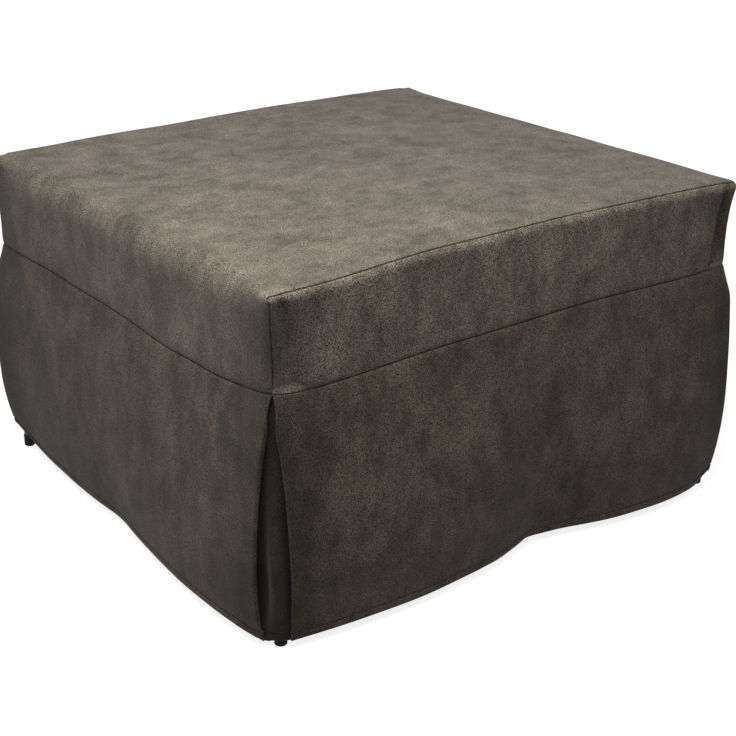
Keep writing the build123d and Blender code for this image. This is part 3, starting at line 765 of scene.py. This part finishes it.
def sew_underlay(cover, skirt_sizes, name, material):
    """The cloth behind an inverted corner pleat: bent round the corner, nosed out and hemmed."""
    signs, hem_out, lower, nose = UNDERLAYS[name]
    drop_length = SEAM_Z - HEM_Z
    radius = skirt_sizes.hem_radius
    start_z = SEAM_Z - 1 * MM
    hang = start_z - HEM_Z - radius
    hang = stations(hang, FINE_CELL, 8 * MM, near=(hang - skirt_sizes.stitch_height + radius,))
    hem_back, hem_rise = hem_rows(skirt_sizes)
    z = np.concatenate([start_z - hang, HEM_Z + radius + hem_rise])
    hem = np.concatenate([np.zeros(len(hang)), hem_back])
    height = np.where(hem > 0, 1, z - HEM_Z)
    drop = np.clip((SEAM_Z - z) / drop_length, 0, 1)
    groove = np.exp(-((height - skirt_sizes.stitch_height) / GROOVE_WIDTH) ** 2)
    sunk = hem + UNDERLAY_GROOVE * groove
    out_x, out_y = (
        through((*UNDERLAY_LINE, (0.94, 0.6 * end), (1, end)), drop)[:, None] * MM
        - sunk[:, None] for end in hem_out)
    bend = (skirt_sizes.pleat_bend * (1 + 0.5 * ease((drop - 0.85) / 0.12)))[:, None]
    whole = skirt_sizes.pleat_bend * np.pi / 2 + 2 * skirt_sizes.pleat_return
    along = stations(whole, 3 * MM, 8 * MM, near=(whole / 2 - NOSE_HALF, whole / 2 + NOSE_HALF))
    along -= whole / 2
    turn = np.clip(along / bend + np.pi / 4, 0, np.pi / 2)
    x = bend * (np.sin(turn) - 1) + np.minimum(along + bend * np.pi / 4, 0)
    y = bend * (np.cos(turn) - 1) - np.maximum(along - bend * np.pi / 4, 0)
    bulge = nose * through(NOSE_LINE, drop)[:, None] * MM / math.sqrt(2)
    bulge = bulge * np.exp(-(along / NOSE_HALF) ** 4)
    sides = lower[0] * ease(along / MM / 10 - 0.3) + lower[1] * ease(-along / MM / 10 - 0.3)
    z = z[:, None] - sides * MM * ease(drop * 4 - 3)[:, None]
    # Behind each panel the underlay lies along it
    corner_x, corner_y = signs[0] * (HALF_WIDTH + x), signs[1] * (HALF_DEPTH + y)
    across, beside = name.split("_")
    at = corner_x, corner_y, drop[:, None]
    out_x = follow_panel(cover, skirt_sizes, beside, *at, out_x)
    out_y = follow_panel(cover, skirt_sizes, across, *at, out_y)
    px = signs[0] * (HALF_WIDTH + x + out_x * np.sin(turn) + bulge)
    py = signs[1] * (HALF_DEPTH + y + out_y * np.cos(turn) + bulge)
    rows, columns = px.shape
    quads = grid_quads(rows, columns)
    if signs[0] * signs[1] < 0:
        quads = quads[:, ::-1]
    points = relax(np.stack([px, py, z], axis=-1))
    closed = shell(points.reshape(-1, 3), quads[:, ::-1], cover.cloth)
    piece = make_piece(f"underlay_{name}", *closed, material)
    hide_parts(f"pleat_{name}")
    return piece


def stitch_row(cover, skirt_sizes, side, material):
    """Stitches that hold the hem of one panel, half sunk in the cloth."""
    margin, sunk = 2 * MM, 0.8 * MM
    half = SIDES[side][2]
    start, end = pleat_edges(side)
    z = HEM_Z + skirt_sizes.stitch_height
    drop = (SEAM_Z - z) / (SEAM_Z - HEM_Z)
    low = through(start, np.array([drop]))[0] * MM - half + margin
    high = half - through(end, np.array([drop]))[0] * MM - margin
    count = int((high - low) / skirt_sizes.stitch_pitch)
    round_it = 6
    ring = np.linspace(0, 2 * np.pi, round_it + 1)[:-1]
    steps = np.array([-0.5, -0.3, 0.3, 0.5]) * skirt_sizes.stitch_length
    plump = np.array([0.35, 1, 1, 0.35]) * skirt_sizes.thread_radius
    points, faces = [], []
    for number in range(count):
        middle = low + (number + 0.5) * (high - low) / count
        along = middle + steps[:, None] + 0 * ring
        out = panel_out(cover, skirt_sizes, side, along, np.full(along.shape, drop))
        out = out - sunk + plump[:, None] * np.cos(ring)
        height = z + plump[:, None] * np.sin(ring)
        first = len(points) * len(steps) * round_it
        points.append(place(side, along, out, height).reshape(-1, 3))
        for row in range(first, first + (len(steps) - 1) * round_it, round_it):
            for j in range(round_it):
                a, b = row + j, row + (j + 1) % round_it
                faces.append((a, b, b + round_it, a + round_it))
        faces.append(tuple(range(first + round_it - 1, first - 1, -1)))
        last = first + (len(steps) - 1) * round_it
        faces.append(tuple(range(last, last + round_it)))
    points = relax(np.concatenate(points)).tolist()
    piece = mesh_object(f"hem_stitches_{side}", points, faces, material, smooth=False)
    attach(piece, "cover")
    return piece


def point_array(piece):
    """The points of a piece's own mesh, one row each."""
    points = np.empty(len(piece.data.vertices) * 3)
    piece.data.vertices.foreach_get("co", points)
    return points.reshape(-1, 3)


def apply_modifiers(piece):
    """Keep what a piece's modifiers make of its mesh, and take them off."""
    graph = bpy.context.evaluated_depsgraph_get()
    mesh = bpy.data.meshes.new_from_object(piece.evaluated_get(graph))
    piece.modifiers.clear()
    piece.data = mesh


def swell(piece, centre, half, levels):
    """Puff the ticking out between its sewn edges with Blender's cloth, as far as it has room."""
    remesh = piece.modifiers.new("even cells", "REMESH")
    remesh.mode = "VOXEL"
    remesh.voxel_size = TICKING_CELL
    apply_modifiers(piece)
    start = point_array(piece)
    inside = start - centre
    reach, tall = 14 * MM, 5 * MM
    rim = np.max(np.abs(inside[:, :2]) - half[:2], axis=1) > -reach
    sewn = rim & np.any([np.abs(inside[:, 2] - level) < tall for level in levels], axis=0)
    group = piece.vertex_groups.new(name="sewn")
    group.add(np.flatnonzero(sewn).tolist(), 1, "REPLACE")
    cloth = piece.modifiers.new("ticking", "CLOTH")
    cloth.settings.vertex_group_mass = group.name
    cloth.settings.shrink_min = -TICKING_EASE
    cloth.settings.use_pressure = True
    cloth.settings.uniform_pressure_force = TICKING_PRESSURE
    cloth.settings.effector_weights.gravity = 0
    cloth.collision_settings.use_collision = False
    cloth.point_cache.frame_start, cloth.point_cache.frame_end = 1, TICKING_FRAMES
    for frame in range(1, TICKING_FRAMES + 1):
        bpy.context.scene.frame_set(frame)
    apply_modifiers(piece)
    bpy.context.scene.frame_set(1)
    moved = point_array(piece) - start
    far = np.linalg.norm(moved, axis=1, keepdims=True) + 1e-12
    points = start + moved / far * TICKING_CAP * np.tanh(far / TICKING_CAP)
    room = half + FOAM_ROOM
    points = centre + np.clip(points - centre, -room, room)
    piece.data.vertices.foreach_set("co", points.ravel())
    piece.data.polygons.foreach_set("use_smooth", [True] * len(piece.data.polygons))
    piece.vertex_groups.clear()
    smooth = piece.modifiers.new("round", "SUBSURF")
    smooth.levels = smooth.render_levels = 1
    apply_modifiers(piece)


def foam_block(node, name, body, crown, material):
    """A foam section in its ticking: crowned faces, drawn-in sides and rounded edges."""
    low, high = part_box(node)
    centre = np.array((low + high) / 2)
    half = np.array((high - low) / 2) - FOAM_INSET
    radius, draw_in, on_face = 16 * MM, 3 * MM, 0.999
    count = 36
    ticks = np.sin(np.linspace(-np.pi / 2, np.pi / 2, count))
    points, quads = [], []
    a, b = np.meshgrid(ticks, ticks, indexing="ij")
    for axis in range(3):
        for sign in (-1, 1):
            cube = np.zeros((count, count, 3))
            cube[..., axis] = sign
            cube[..., (axis + 1) % 3] = a
            cube[..., (axis + 2) % 3] = b
            face = grid_quads(count, count, first=len(points) * count * count)
            quads.append(face if sign < 0 else face[:, ::-1])
            points.append(cube.reshape(-1, 3))
    unit = np.concatenate(points)
    solid = unit * half
    core = np.clip(solid, radius - half, half - radius)
    spread = solid - core
    size = np.linalg.norm(spread, axis=1, keepdims=True) + 1e-12
    corner = np.count_nonzero(np.abs(spread) > 1e-9, axis=1, keepdims=True) > 1
    solid = np.where(corner, core + spread / size * radius, solid)
    fade = (1 - unit**4)
    faces_up = np.abs(unit[:, 2]) > on_face
    solid[:, 2] -= np.sign(unit[:, 2]) * draw_in * faces_up * (1 - fade[:, 0] * fade[:, 1])
    upper = np.clip((unit[:, 2] + 1) / 2, 0, 1)
    solid[:, 2] -= crown * upper * np.abs(unit[:, 0]) ** 2.2
    for axis, other in ((0, 1), (1, 0)):
        flank = np.abs(unit[:, axis]) > on_face
        solid[:, axis] -= np.sign(unit[:, axis]) * flank * draw_in * (
            1 - fade[:, other] * (1 - 0.5 * np.abs(unit[:, 2])))
    wave = patches(solid + centre, *FOAM_WAVES[1:])[:, None] * FOAM_WAVES[0] * MM
    solid += wave * np.sign(unit) * (np.abs(unit) > on_face)
    quads = np.concatenate(quads)[:, ::-1].tolist()
    piece = mesh_object(name, (solid + centre).tolist(), quads, material)
    weld = piece.modifiers.new("weld", "WELD")
    weld.merge_threshold = 0.05 * MM
    levels = [sign * (half[2] - CORD_INSET) - (crown if sign > 0 else 0) for sign in (-1, 1)]
    swell(piece, centre, half, levels)
    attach(piece, body)
    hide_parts(node)
    return centre, half, levels


def edge_cord(name, body, centre, half, level, material):
    """Covered cord sewn round one face of a foam section."""
    radius, bend, sides = 3 * MM, 30 * MM, 10
    turn = np.linspace(0, np.pi / 2, 9)
    path = []
    for sx, sy, first in ((1, 1, 0), (-1, 1, 1), (-1, -1, 2), (1, -1, 3)):
        angle = turn + first * np.pi / 2
        path.append(np.column_stack([
            sx * (half[0] - bend) + bend * np.cos(angle),
            sy * (half[1] - bend) + bend * np.sin(angle),
            np.full(len(turn), level), np.cos(angle), np.sin(angle)]))
    path = np.concatenate(path)
    ring = np.linspace(0, 2 * np.pi, sides + 1)[:-1]
    x = path[:, [0]] + path[:, [3]] * (radius * np.cos(ring) - radius) + centre[0]
    y = path[:, [1]] + path[:, [4]] * (radius * np.cos(ring) - radius) + centre[1]
    z = path[:, [2]] + radius * np.sin(ring) + centre[2]
    points = np.stack([x, y, z], axis=-1)
    count = len(path)
    index = np.arange(count * sides).reshape(count, sides)
    after = np.roll(index, -1, axis=0)
    faces = np.stack([
        index, after, np.roll(after, -1, axis=1), np.roll(index, -1, axis=1)], axis=-1)
    piece = make_piece(name, points.reshape(-1, 3), faces.reshape(-1, 4), material, body)


def add_node(tree, kind, inputs=None, **fields):
    """Add a shader node with its fields, and fill or link its inputs."""
    node = tree.nodes.new("ShaderNode" + kind)
    for field, value in fields.items():
        setattr(node, field, value)
    for socket, value in (inputs or {}).items():
        if isinstance(value, bpy.types.NodeSocket):
            tree.links.new(value, node.inputs[socket])
        else:
            node.inputs[socket].default_value = value
    return node


def new_material(name):
    """A material, its empty node tree, and the object's own places for its patterns."""
    material = bpy.data.materials.new(name)
    material.use_nodes = True
    tree = material.node_tree
    tree.nodes.clear()
    return material, tree, add_node(tree, "TexCoord").outputs["Object"]


def surfaced(material, shader):
    """The material, with its shader linked to its output."""
    add_node(material.node_tree, "OutputMaterial", {0: shader.outputs[0]})
    return material


def per_metre(size_mm):
    """Texture scale whose cells have a real size in millimetres."""
    return 1000 / size_mm


def microfibre_suede(name, nap=(1, 1, 1), crisp=1.0):
    """Napped polyester microfibre, brushed: a dull face, clouds of laid nap and a fine grain.

    nap is the share of each colour kept: it paints light onto a lit copy of the cloth and shade
    onto shaded copies. crisp sharpens the clouds and the grain, and shade is painted beside the
    upright corners.
    """
    colours = settings("colours")
    material, tree, place_in = new_material(name)
    # Clouds of nap laid one way or the other, about 75 mm across with ragged edges
    clouds = add_node(tree, "TexNoise", {
        "Vector": place_in, "Scale": per_metre(75), "Detail": 5.0, "Roughness": 0.62,
        "Distortion": 0.5})
    # Brush strokes, drawn out up and down the walls
    stretched = add_node(tree, "Mapping", {"Vector": place_in, "Scale": (1.0, 1.0, 0.5)})
    strokes = add_node(tree, "TexNoise", {
        "Vector": stretched.outputs[0], "Scale": per_metre(24), "Detail": 3.0, "Roughness": 0.6})
    # Grain of the weave under the nap; real threads of 0.3 mm are drawn 1.4 mm wide to show
    turned = add_node(tree, "Mapping", {"Vector": place_in, "Rotation": (0.5, 0.6, 0.7)})
    grain = add_node(tree, "TexNoise", {
        "Vector": turned.outputs[0], "Scale": per_metre(1.4), "Detail": 1.0, "Roughness": 0.8})
    both = add_node(tree, "Math", {0: clouds.outputs[0], 1: strokes.outputs[0]}, operation="ADD")
    laid = add_node(tree, "MapRange", {
        "Value": both.outputs[0], "From Min": 1.01 - 0.29 / crisp,
        "From Max": 1.01 + 0.29 / crisp, "To Min": 0.0, "To Max": 1.0})
    # nap scales both colours: it paints light onto the end walls' copy, and shade onto the skirt's
    # and the underlays' copies
    base = add_node(tree, "Mix", {
        0: laid.outputs[0], 6: tuple(c * n for c, n in zip(colours.suede_shade, nap)) + (1.0,),
        7: tuple(c * n for c, n in zip(colours.suede, nap)) + (1.0,)}, data_type="RGBA")
    speck = add_node(tree, "MapRange", {
        "Value": grain.outputs[0], "From Min": 0.5 - 0.2 / crisp,
        "From Max": 0.5 + 0.2 / crisp, "To Min": 0.0, "To Max": 2.1})
    # Painted shade beside the upright corners: the colour is darkened to half there, fading out 110
    # mm from them, and kept off the seat
    reach = add_node(tree, "VectorMath", {0: place_in}, operation="ABSOLUTE")
    reach = add_node(tree, "VectorMath", {
        0: reach.outputs[0], 1: (-HALF_WIDTH, -HALF_DEPTH, 0)}, operation="ADD")
    reach = add_node(tree, "VectorMath", {0: reach.outputs[0], 1: (1, 1, 0)}, operation="MULTIPLY")
    reach = add_node(tree, "VectorMath", {0: reach.outputs[0]}, operation="LENGTH")
    corner_shade = add_node(tree, "MapRange", {
        "Value": reach.outputs["Value"], "From Min": 12 * MM, "From Max": 110 * MM, "To Min": 0.5,
        "To Max": 1.0}, interpolation_type="SMOOTHSTEP")
    upright = add_node(tree, "SeparateXYZ", {0: place_in})
    on_seat = add_node(tree, "MapRange", {
        "Value": upright.outputs[2], "From Min": TOP_Z - 30 * MM, "From Max": TOP_Z - 10 * MM})
    painted_shade = add_node(tree, "Math", {
        0: corner_shade.outputs[0], 1: on_seat.outputs[0]}, operation="MAXIMUM")
    speck = add_node(tree, "Math", {0: speck.outputs[0], 1: painted_shade.outputs[0]}, operation="MULTIPLY")
    colour = add_node(tree, "Mix", {
        0: 1.0, 6: base.outputs[2], 7: speck.outputs[0]}, data_type="RGBA", blend_type="MULTIPLY")
    height = add_node(tree, "Math", {
        0: clouds.outputs[0], 1: 0.6, 2: grain.outputs[0]}, operation="MULTIPLY_ADD")
    bump = add_node(tree, "Bump", {
        "Height": height.outputs[0], "Strength": 0.35, "Distance": 0.6 * MM})
    shader = add_node(tree, "BsdfPrincipled", {
        "Base Color": colour.outputs[2], "Roughness": 0.92, "IOR": 1.5, "Specular IOR Level": 0.25,
        "Sheen Weight": 0.12, "Sheen Roughness": 0.45, "Normal": bump.outputs[0]})
    return surfaced(material, shader)


def polyester_thread(name):
    """Spun polyester sewing thread: a touch smoother than the cloth, with a faint twist."""
    material, tree, place_in = new_material(name)
    twist = add_node(tree, "TexNoise", {
        "Vector": place_in, "Scale": per_metre(0.8), "Detail": 1.0})
    bump = add_node(tree, "Bump", {
        "Height": twist.outputs[0], "Strength": 0.4, "Distance": 0.2 * MM})
    shader = add_node(tree, "BsdfPrincipled", {
        "Base Color": tuple(settings("colours").thread), "Roughness": 0.6,
        "Normal": bump.outputs[0]})
    return surfaced(material, shader)


def knitted_ticking(name):
    """Knitted polyester mattress ticking: pale and matte, with soft ribs across the section."""
    colours = settings("colours")
    material, tree, place_in = new_material(name)
    # Ribs 31 mm apart: at scale 1 the wave repeats every 0.314 m
    ribs = add_node(tree, "TexWave", {
        "Vector": place_in, "Scale": 0.314 * per_metre(31.4), "Distortion": 0.4, "Detail": 1.0,
        "Detail Scale": 6.0}, wave_type="BANDS", bands_direction="X")
    knit = add_node(tree, "TexNoise", {
        "Vector": place_in, "Scale": per_metre(1.2), "Detail": 2.0})
    shade = add_node(tree, "MapRange", {
        "Value": knit.outputs[0], "From Min": 0.3, "From Max": 0.7, "To Min": 0.88, "To Max": 1.05})
    colour = add_node(tree, "Mix", {
        0: 1.0, 6: tuple(colours.ticking), 7: shade.outputs[0]}, data_type="RGBA",
        blend_type="MULTIPLY")
    height = add_node(tree, "Math", {0: ribs.outputs[0], 1: knit.outputs[0]}, operation="ADD")
    bump = add_node(tree, "Bump", {
        "Height": height.outputs[0], "Strength": 0.4, "Distance": 0.5 * MM})
    shader = add_node(tree, "BsdfPrincipled", {
        "Base Color": colour.outputs[2], "Roughness": 0.85, "Sheen Weight": 0.1,
        "Normal": bump.outputs[0]})
    return surfaced(material, shader)


def lacquered_slat(name):
    """Layer-glued birch slats under thin lacquer: grain along the slat, a soft shine."""
    colours = settings("colours")
    material, tree, place_in = new_material(name)
    # Grain lines about 3 mm wide and 90 mm long
    long = add_node(tree, "Mapping", {"Vector": place_in, "Scale": (0.035, 1.0, 1.0)})
    grain = add_node(tree, "TexNoise", {
        "Vector": long.outputs[0], "Scale": per_metre(3), "Detail": 5.0, "Roughness": 0.65})
    dark = tuple(c * 0.55 for c in colours.slat[:3]) + (1.0,)
    colour = add_node(tree, "Mix", {0: grain.outputs[0], 6: dark, 7: tuple(colours.slat)},
                      data_type="RGBA")
    gloss = add_node(tree, "MapRange", {
        "Value": grain.outputs[0], "To Min": 0.5, "To Max": 0.34})
    bump = add_node(tree, "Bump", {
        "Height": grain.outputs[0], "Strength": 0.2, "Distance": 0.2 * MM})
    shader = add_node(tree, "BsdfPrincipled", {
        "Base Color": colour.outputs[2], "Roughness": gloss.outputs[0], "Coat Weight": 0.2,
        "Normal": bump.outputs[0]})
    return surfaced(material, shader)


def powder_coated_steel(name):
    """Black polyester powder coat on steel: satin, with a fine orange peel."""
    material, tree, place_in = new_material(name)
    peel = add_node(tree, "TexNoise", {
        "Vector": place_in, "Scale": per_metre(1.5), "Detail": 2.0})
    tone = add_node(tree, "MapRange", {
        "Value": peel.outputs[0], "To Min": 0.38, "To Max": 0.5})
    bump = add_node(tree, "Bump", {
        "Height": peel.outputs[0], "Strength": 0.25, "Distance": 0.1 * MM})
    shader = add_node(tree, "BsdfPrincipled", {
        "Base Color": tuple(settings("colours").frame_coat), "Roughness": tone.outputs[0],
        "IOR": 1.5, "Normal": bump.outputs[0]})
    return surfaced(material, shader)


def zinc_plated_steel(name):
    """Bright zinc plating on turned steel: grey metal with fine cloudy scratches."""
    material, tree, place_in = new_material(name)
    cloud = add_node(tree, "TexNoise", {
        "Vector": place_in, "Scale": per_metre(2), "Detail": 4.0})
    dull = add_node(tree, "MapRange", {
        "Value": cloud.outputs[0], "To Min": 0.22, "To Max": 0.45})
    shader = add_node(tree, "BsdfPrincipled", {
        "Base Color": tuple(settings("colours").zinc), "Metallic": 1.0,
        "Roughness": dull.outputs[0]})
    return surfaced(material, shader)


def moulded_polypropylene(name):
    """Black polypropylene moulded in a spark-eroded tool: dull, with a fine even grit."""
    material, tree, place_in = new_material(name)
    grit = add_node(tree, "TexNoise", {
        "Vector": place_in, "Scale": per_metre(0.9), "Detail": 1.0})
    bump = add_node(tree, "Bump", {
        "Height": grit.outputs[0], "Strength": 0.3, "Distance": 0.1 * MM})
    shader = add_node(tree, "BsdfPrincipled", {
        "Base Color": tuple(settings("colours").plastic), "Roughness": 0.6, "IOR": 1.49,
        "Specular IOR Level": 0.15, "Normal": bump.outputs[0]})
    return surfaced(material, shader)


def material_named(name, maker, *arguments):
    """A finish that is made once and shared."""
    return bpy.data.materials.get(name) or maker(name, *arguments)


class OTTOMAN_OT_seat(bpy.types.Operator):
    """Sew the seat cloth and the front and back walls."""

    bl_idname = "ottoman.seat"
    bl_label = "Seat and walls"

    def execute(self, context):
        sizes = settings("cover")
        cloth = material_named("Microfibre suede", microfibre_suede)
        # The end walls take a copy of the cloth with painted light
        walls = material_named(
            "Microfibre suede, wall nap", microfibre_suede, WALL_PAINTED_LIGHT, WALL_CRISP)
        for piece in (sew_seat(sizes, cloth), sew_wall(sizes, "front", walls),
                      sew_wall(sizes, "back", walls)):
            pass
        return {"FINISHED"}


class OTTOMAN_OT_skirt(bpy.types.Operator):
    """Sew the four skirt panels with their hems and stitches."""

    bl_idname = "ottoman.skirt"
    bl_label = "Skirt panels"

    def execute(self, context):
        cover, skirt_sizes = settings("cover"), settings("skirt")
        # The skirt takes a copy of the cloth with painted shade
        cloth = material_named(
            "Microfibre suede, skirt nap", microfibre_suede, SKIRT_PAINTED_SHADE, SKIRT_CRISP)
        thread = material_named("Polyester thread", polyester_thread)
        for side in SIDES:
            panel = sew_panel(cover, skirt_sizes, side, cloth)
            stitches = stitch_row(cover, skirt_sizes, side, thread)
        return {"FINISHED"}


class OTTOMAN_OT_pleats(bpy.types.Operator):
    """Sew the underlays of the four inverted corner pleats."""

    bl_idname = "ottoman.pleats"
    bl_label = "Pleat underlays"

    def execute(self, context):
        cover, skirt_sizes = settings("cover"), settings("skirt")
        # The underlays take a copy of the cloth with deep painted shade
        cloth = material_named("Microfibre suede, underlay", microfibre_suede, UNDERLAY_PAINTED_SHADE)
        for name in UNDERLAYS:
            piece = sew_underlay(cover, skirt_sizes, name, cloth)
        return {"FINISHED"}


class OTTOMAN_OT_mattresses(bpy.types.Operator):
    """Upholster the three foam sections."""

    bl_idname = "ottoman.mattresses"
    bl_label = "Mattress sections"

    def execute(self, context):
        ticking = material_named("Knitted ticking", knitted_ticking)
        for body, crown in FOAM_CROWNS.items():
            centre, half, levels = foam_block(
                f"{body}_mattress", f"mattress_{body}", body, crown, ticking)
            for label, level in zip(("low", "high"), levels):
                edge_cord(f"mattress_{body}_cord_{label}", body, centre, half, level, ticking)
        return {"FINISHED"}


class OTTOMAN_OT_finishes(bpy.types.Operator):
    """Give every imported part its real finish."""

    bl_idname = "ottoman.finishes"
    bl_label = "Finishes"

    def execute(self, context):
        makers = {
            "cover_cloth": ("Microfibre suede", microfibre_suede),
            "mattress_ticking": ("Knitted ticking", knitted_ticking),
            "slat_wood": ("Lacquered birch", lacquered_slat),
            "black_steel": ("Powder-coated steel", powder_coated_steel),
            "zinc_steel": ("Zinc-plated steel", zinc_plated_steel),
            "black_plastic": ("Moulded polypropylene", moulded_polypropylene),
        }
        for part in frame["record"]["subparts"]:
            material = material_named(*makers[part["material_slot"]])
            node = frame["nodes"][part["node"]]
            node.data.materials.clear()
            node.data.materials.append(material)
        return {"FINISHED"}


def unseen_ray(tree):
    """1 for rays that see the stage itself, straight, mirrored or through glass; 0 for light."""
    path = add_node(tree, "LightPath")
    seen = add_node(tree, "Math", {
        0: path.outputs["Is Camera Ray"], 1: path.outputs["Is Glossy Ray"]}, operation="MAXIMUM")
    seen = add_node(tree, "Math", {
        0: seen.outputs[0], 1: path.outputs["Is Transmission Ray"]}, operation="MAXIMUM")
    return seen.outputs[0]


def paint_floor(studio):
    """White paper roll: bright to the eye, and returning only a little light to the object."""
    material, tree, _ = new_material("White paper roll")
    grain = add_node(tree, "TexNoise", {"Scale": 60.0, "Detail": 2.0})
    tone = add_node(tree, "MapRange", {"Value": grain.outputs[0], "To Min": 0.60, "To Max": 0.62})
    paper = add_node(tree, "BsdfDiffuse", {"Color": tone.outputs[0]})
    glow = add_node(tree, "Emission", {"Strength": PAPER_GLOW})
    eye = add_node(tree, "AddShader", {0: paper.outputs[0], 1: glow.outputs[0]})
    level = studio.floor_bounce
    bounce = add_node(tree, "BsdfDiffuse", {"Color": (level, level, level, 1.0)})
    mixed = add_node(tree, "MixShader", {
        0: unseen_ray(tree), 1: bounce.outputs[0], 2: eye.outputs[0]})
    return surfaced(material, mixed)


class OTTOMAN_OT_studio(bpy.types.Operator):
    """Lay the floor, light the studio and set the camera."""

    bl_idname = "ottoman.studio"
    bl_label = "Studio"

    def execute(self, context):
        studio = settings("studio")
        scene = context.scene
        scene.view_settings.view_transform = "Standard"
        size = FLOOR_REACH
        corners = [(-size, -size, 0), (size, -size, 0), (size, size, 0), (-size, size, 0)]
        floor = mesh_object("floor", corners, [(0, 1, 2, 3)], paint_floor(studio), smooth=False)
        world = bpy.data.worlds.new("Studio")
        world.use_nodes = True
        scene.world = world
        tree = world.node_tree
        tree.nodes.clear()
        level = add_node(tree, "Mix", {0: unseen_ray(tree), 2: studio.sky, 3: 1.0})
        sky = add_node(tree, "Background", {"Color": (1, 1, 1, 1), "Strength": level.outputs[0]})
        add_node(tree, "OutputWorld", {0: sky.outputs[0]})
        lamp = bpy.data.lights.new("key", "AREA")
        lamp.shape = "DISK"
        lamp.size = KEY_SIZE
        lamp.energy = studio.key
        key = bpy.data.objects.new("key", lamp)
        key.location = KEY_PLACE
        aim = Vector(KEY_AIM) - key.location
        key.rotation_euler = aim.to_track_quat("-Z", "Y").to_euler()
        scene.collection.objects.link(key)
        set_camera(scene)
        return {"FINISHED"}


def set_camera(scene):
    """Camera solved on the corners, seams and feet in a square picture 736 pixels wide."""
    picture, focal_pixels = 736, 1566.0
    azimuth, elevation, distance = math.radians(-36.529), math.radians(22.689), 2.0807
    target = Vector((-0.0912, -0.1576, 0.2286))
    data = bpy.data.cameras.new("camera")
    data.sensor_width = 36
    data.lens = focal_pixels * data.sensor_width / picture
    camera = bpy.data.objects.new("camera", data)
    back = Vector((math.sin(azimuth) * math.cos(elevation),
                   -math.cos(azimuth) * math.cos(elevation), math.sin(elevation)))
    camera.location = target + back * distance
    camera.rotation_euler = (-back).to_track_quat("-Z", "Y").to_euler()
    scene.collection.objects.link(camera)
    scene.camera = camera


OPERATORS = (
    OTTOMAN_OT_seat, OTTOMAN_OT_skirt, OTTOMAN_OT_pleats, OTTOMAN_OT_mattresses,
    OTTOMAN_OT_finishes, OTTOMAN_OT_studio,
)
GROUPS = {"cover": CoverSizes, "skirt": SkirtSizes, "colours": FinishColours,
          "studio": StudioSettings}


class OTTOMAN_PT_sidebar(bpy.types.Panel):
    """Steps and settings of the ottoman."""

    bl_idname = "OTTOMAN_PT_sidebar"
    bl_label = "Ottoman guest bed"
    bl_space_type = "VIEW_3D"
    bl_region_type = "UI"
    bl_category = "Ottoman"

    def draw(self, context):
        for operator in OPERATORS:
            self.layout.operator(operator.bl_idname)
        for name, group in GROUPS.items():
            box = self.layout.box()
            box.label(text=name.capitalize())
            for field in group.__annotations__:
                box.prop(settings(name), field)


def register():
    """Add the settings, the steps and the sidebar to Blender."""
    for name, group in GROUPS.items():
        bpy.utils.register_class(group)
        setattr(bpy.types.Scene, "ottoman_" + name, PointerProperty(type=group))
    for item in (*OPERATORS, OTTOMAN_PT_sidebar):
        bpy.utils.register_class(item)


def unregister():
    """Take them out again."""
    for item in (OTTOMAN_PT_sidebar, *reversed(OPERATORS)):
        bpy.utils.unregister_class(item)
    for name, group in GROUPS.items():
        delattr(bpy.types.Scene, "ottoman_" + name)
        bpy.utils.unregister_class(group)


def main():
    register()
    for operator in OPERATORS:
        group, step = operator.bl_idname.split(".")
        getattr(getattr(bpy.ops, group), step)()


if __name__ == "__main__":
    main()
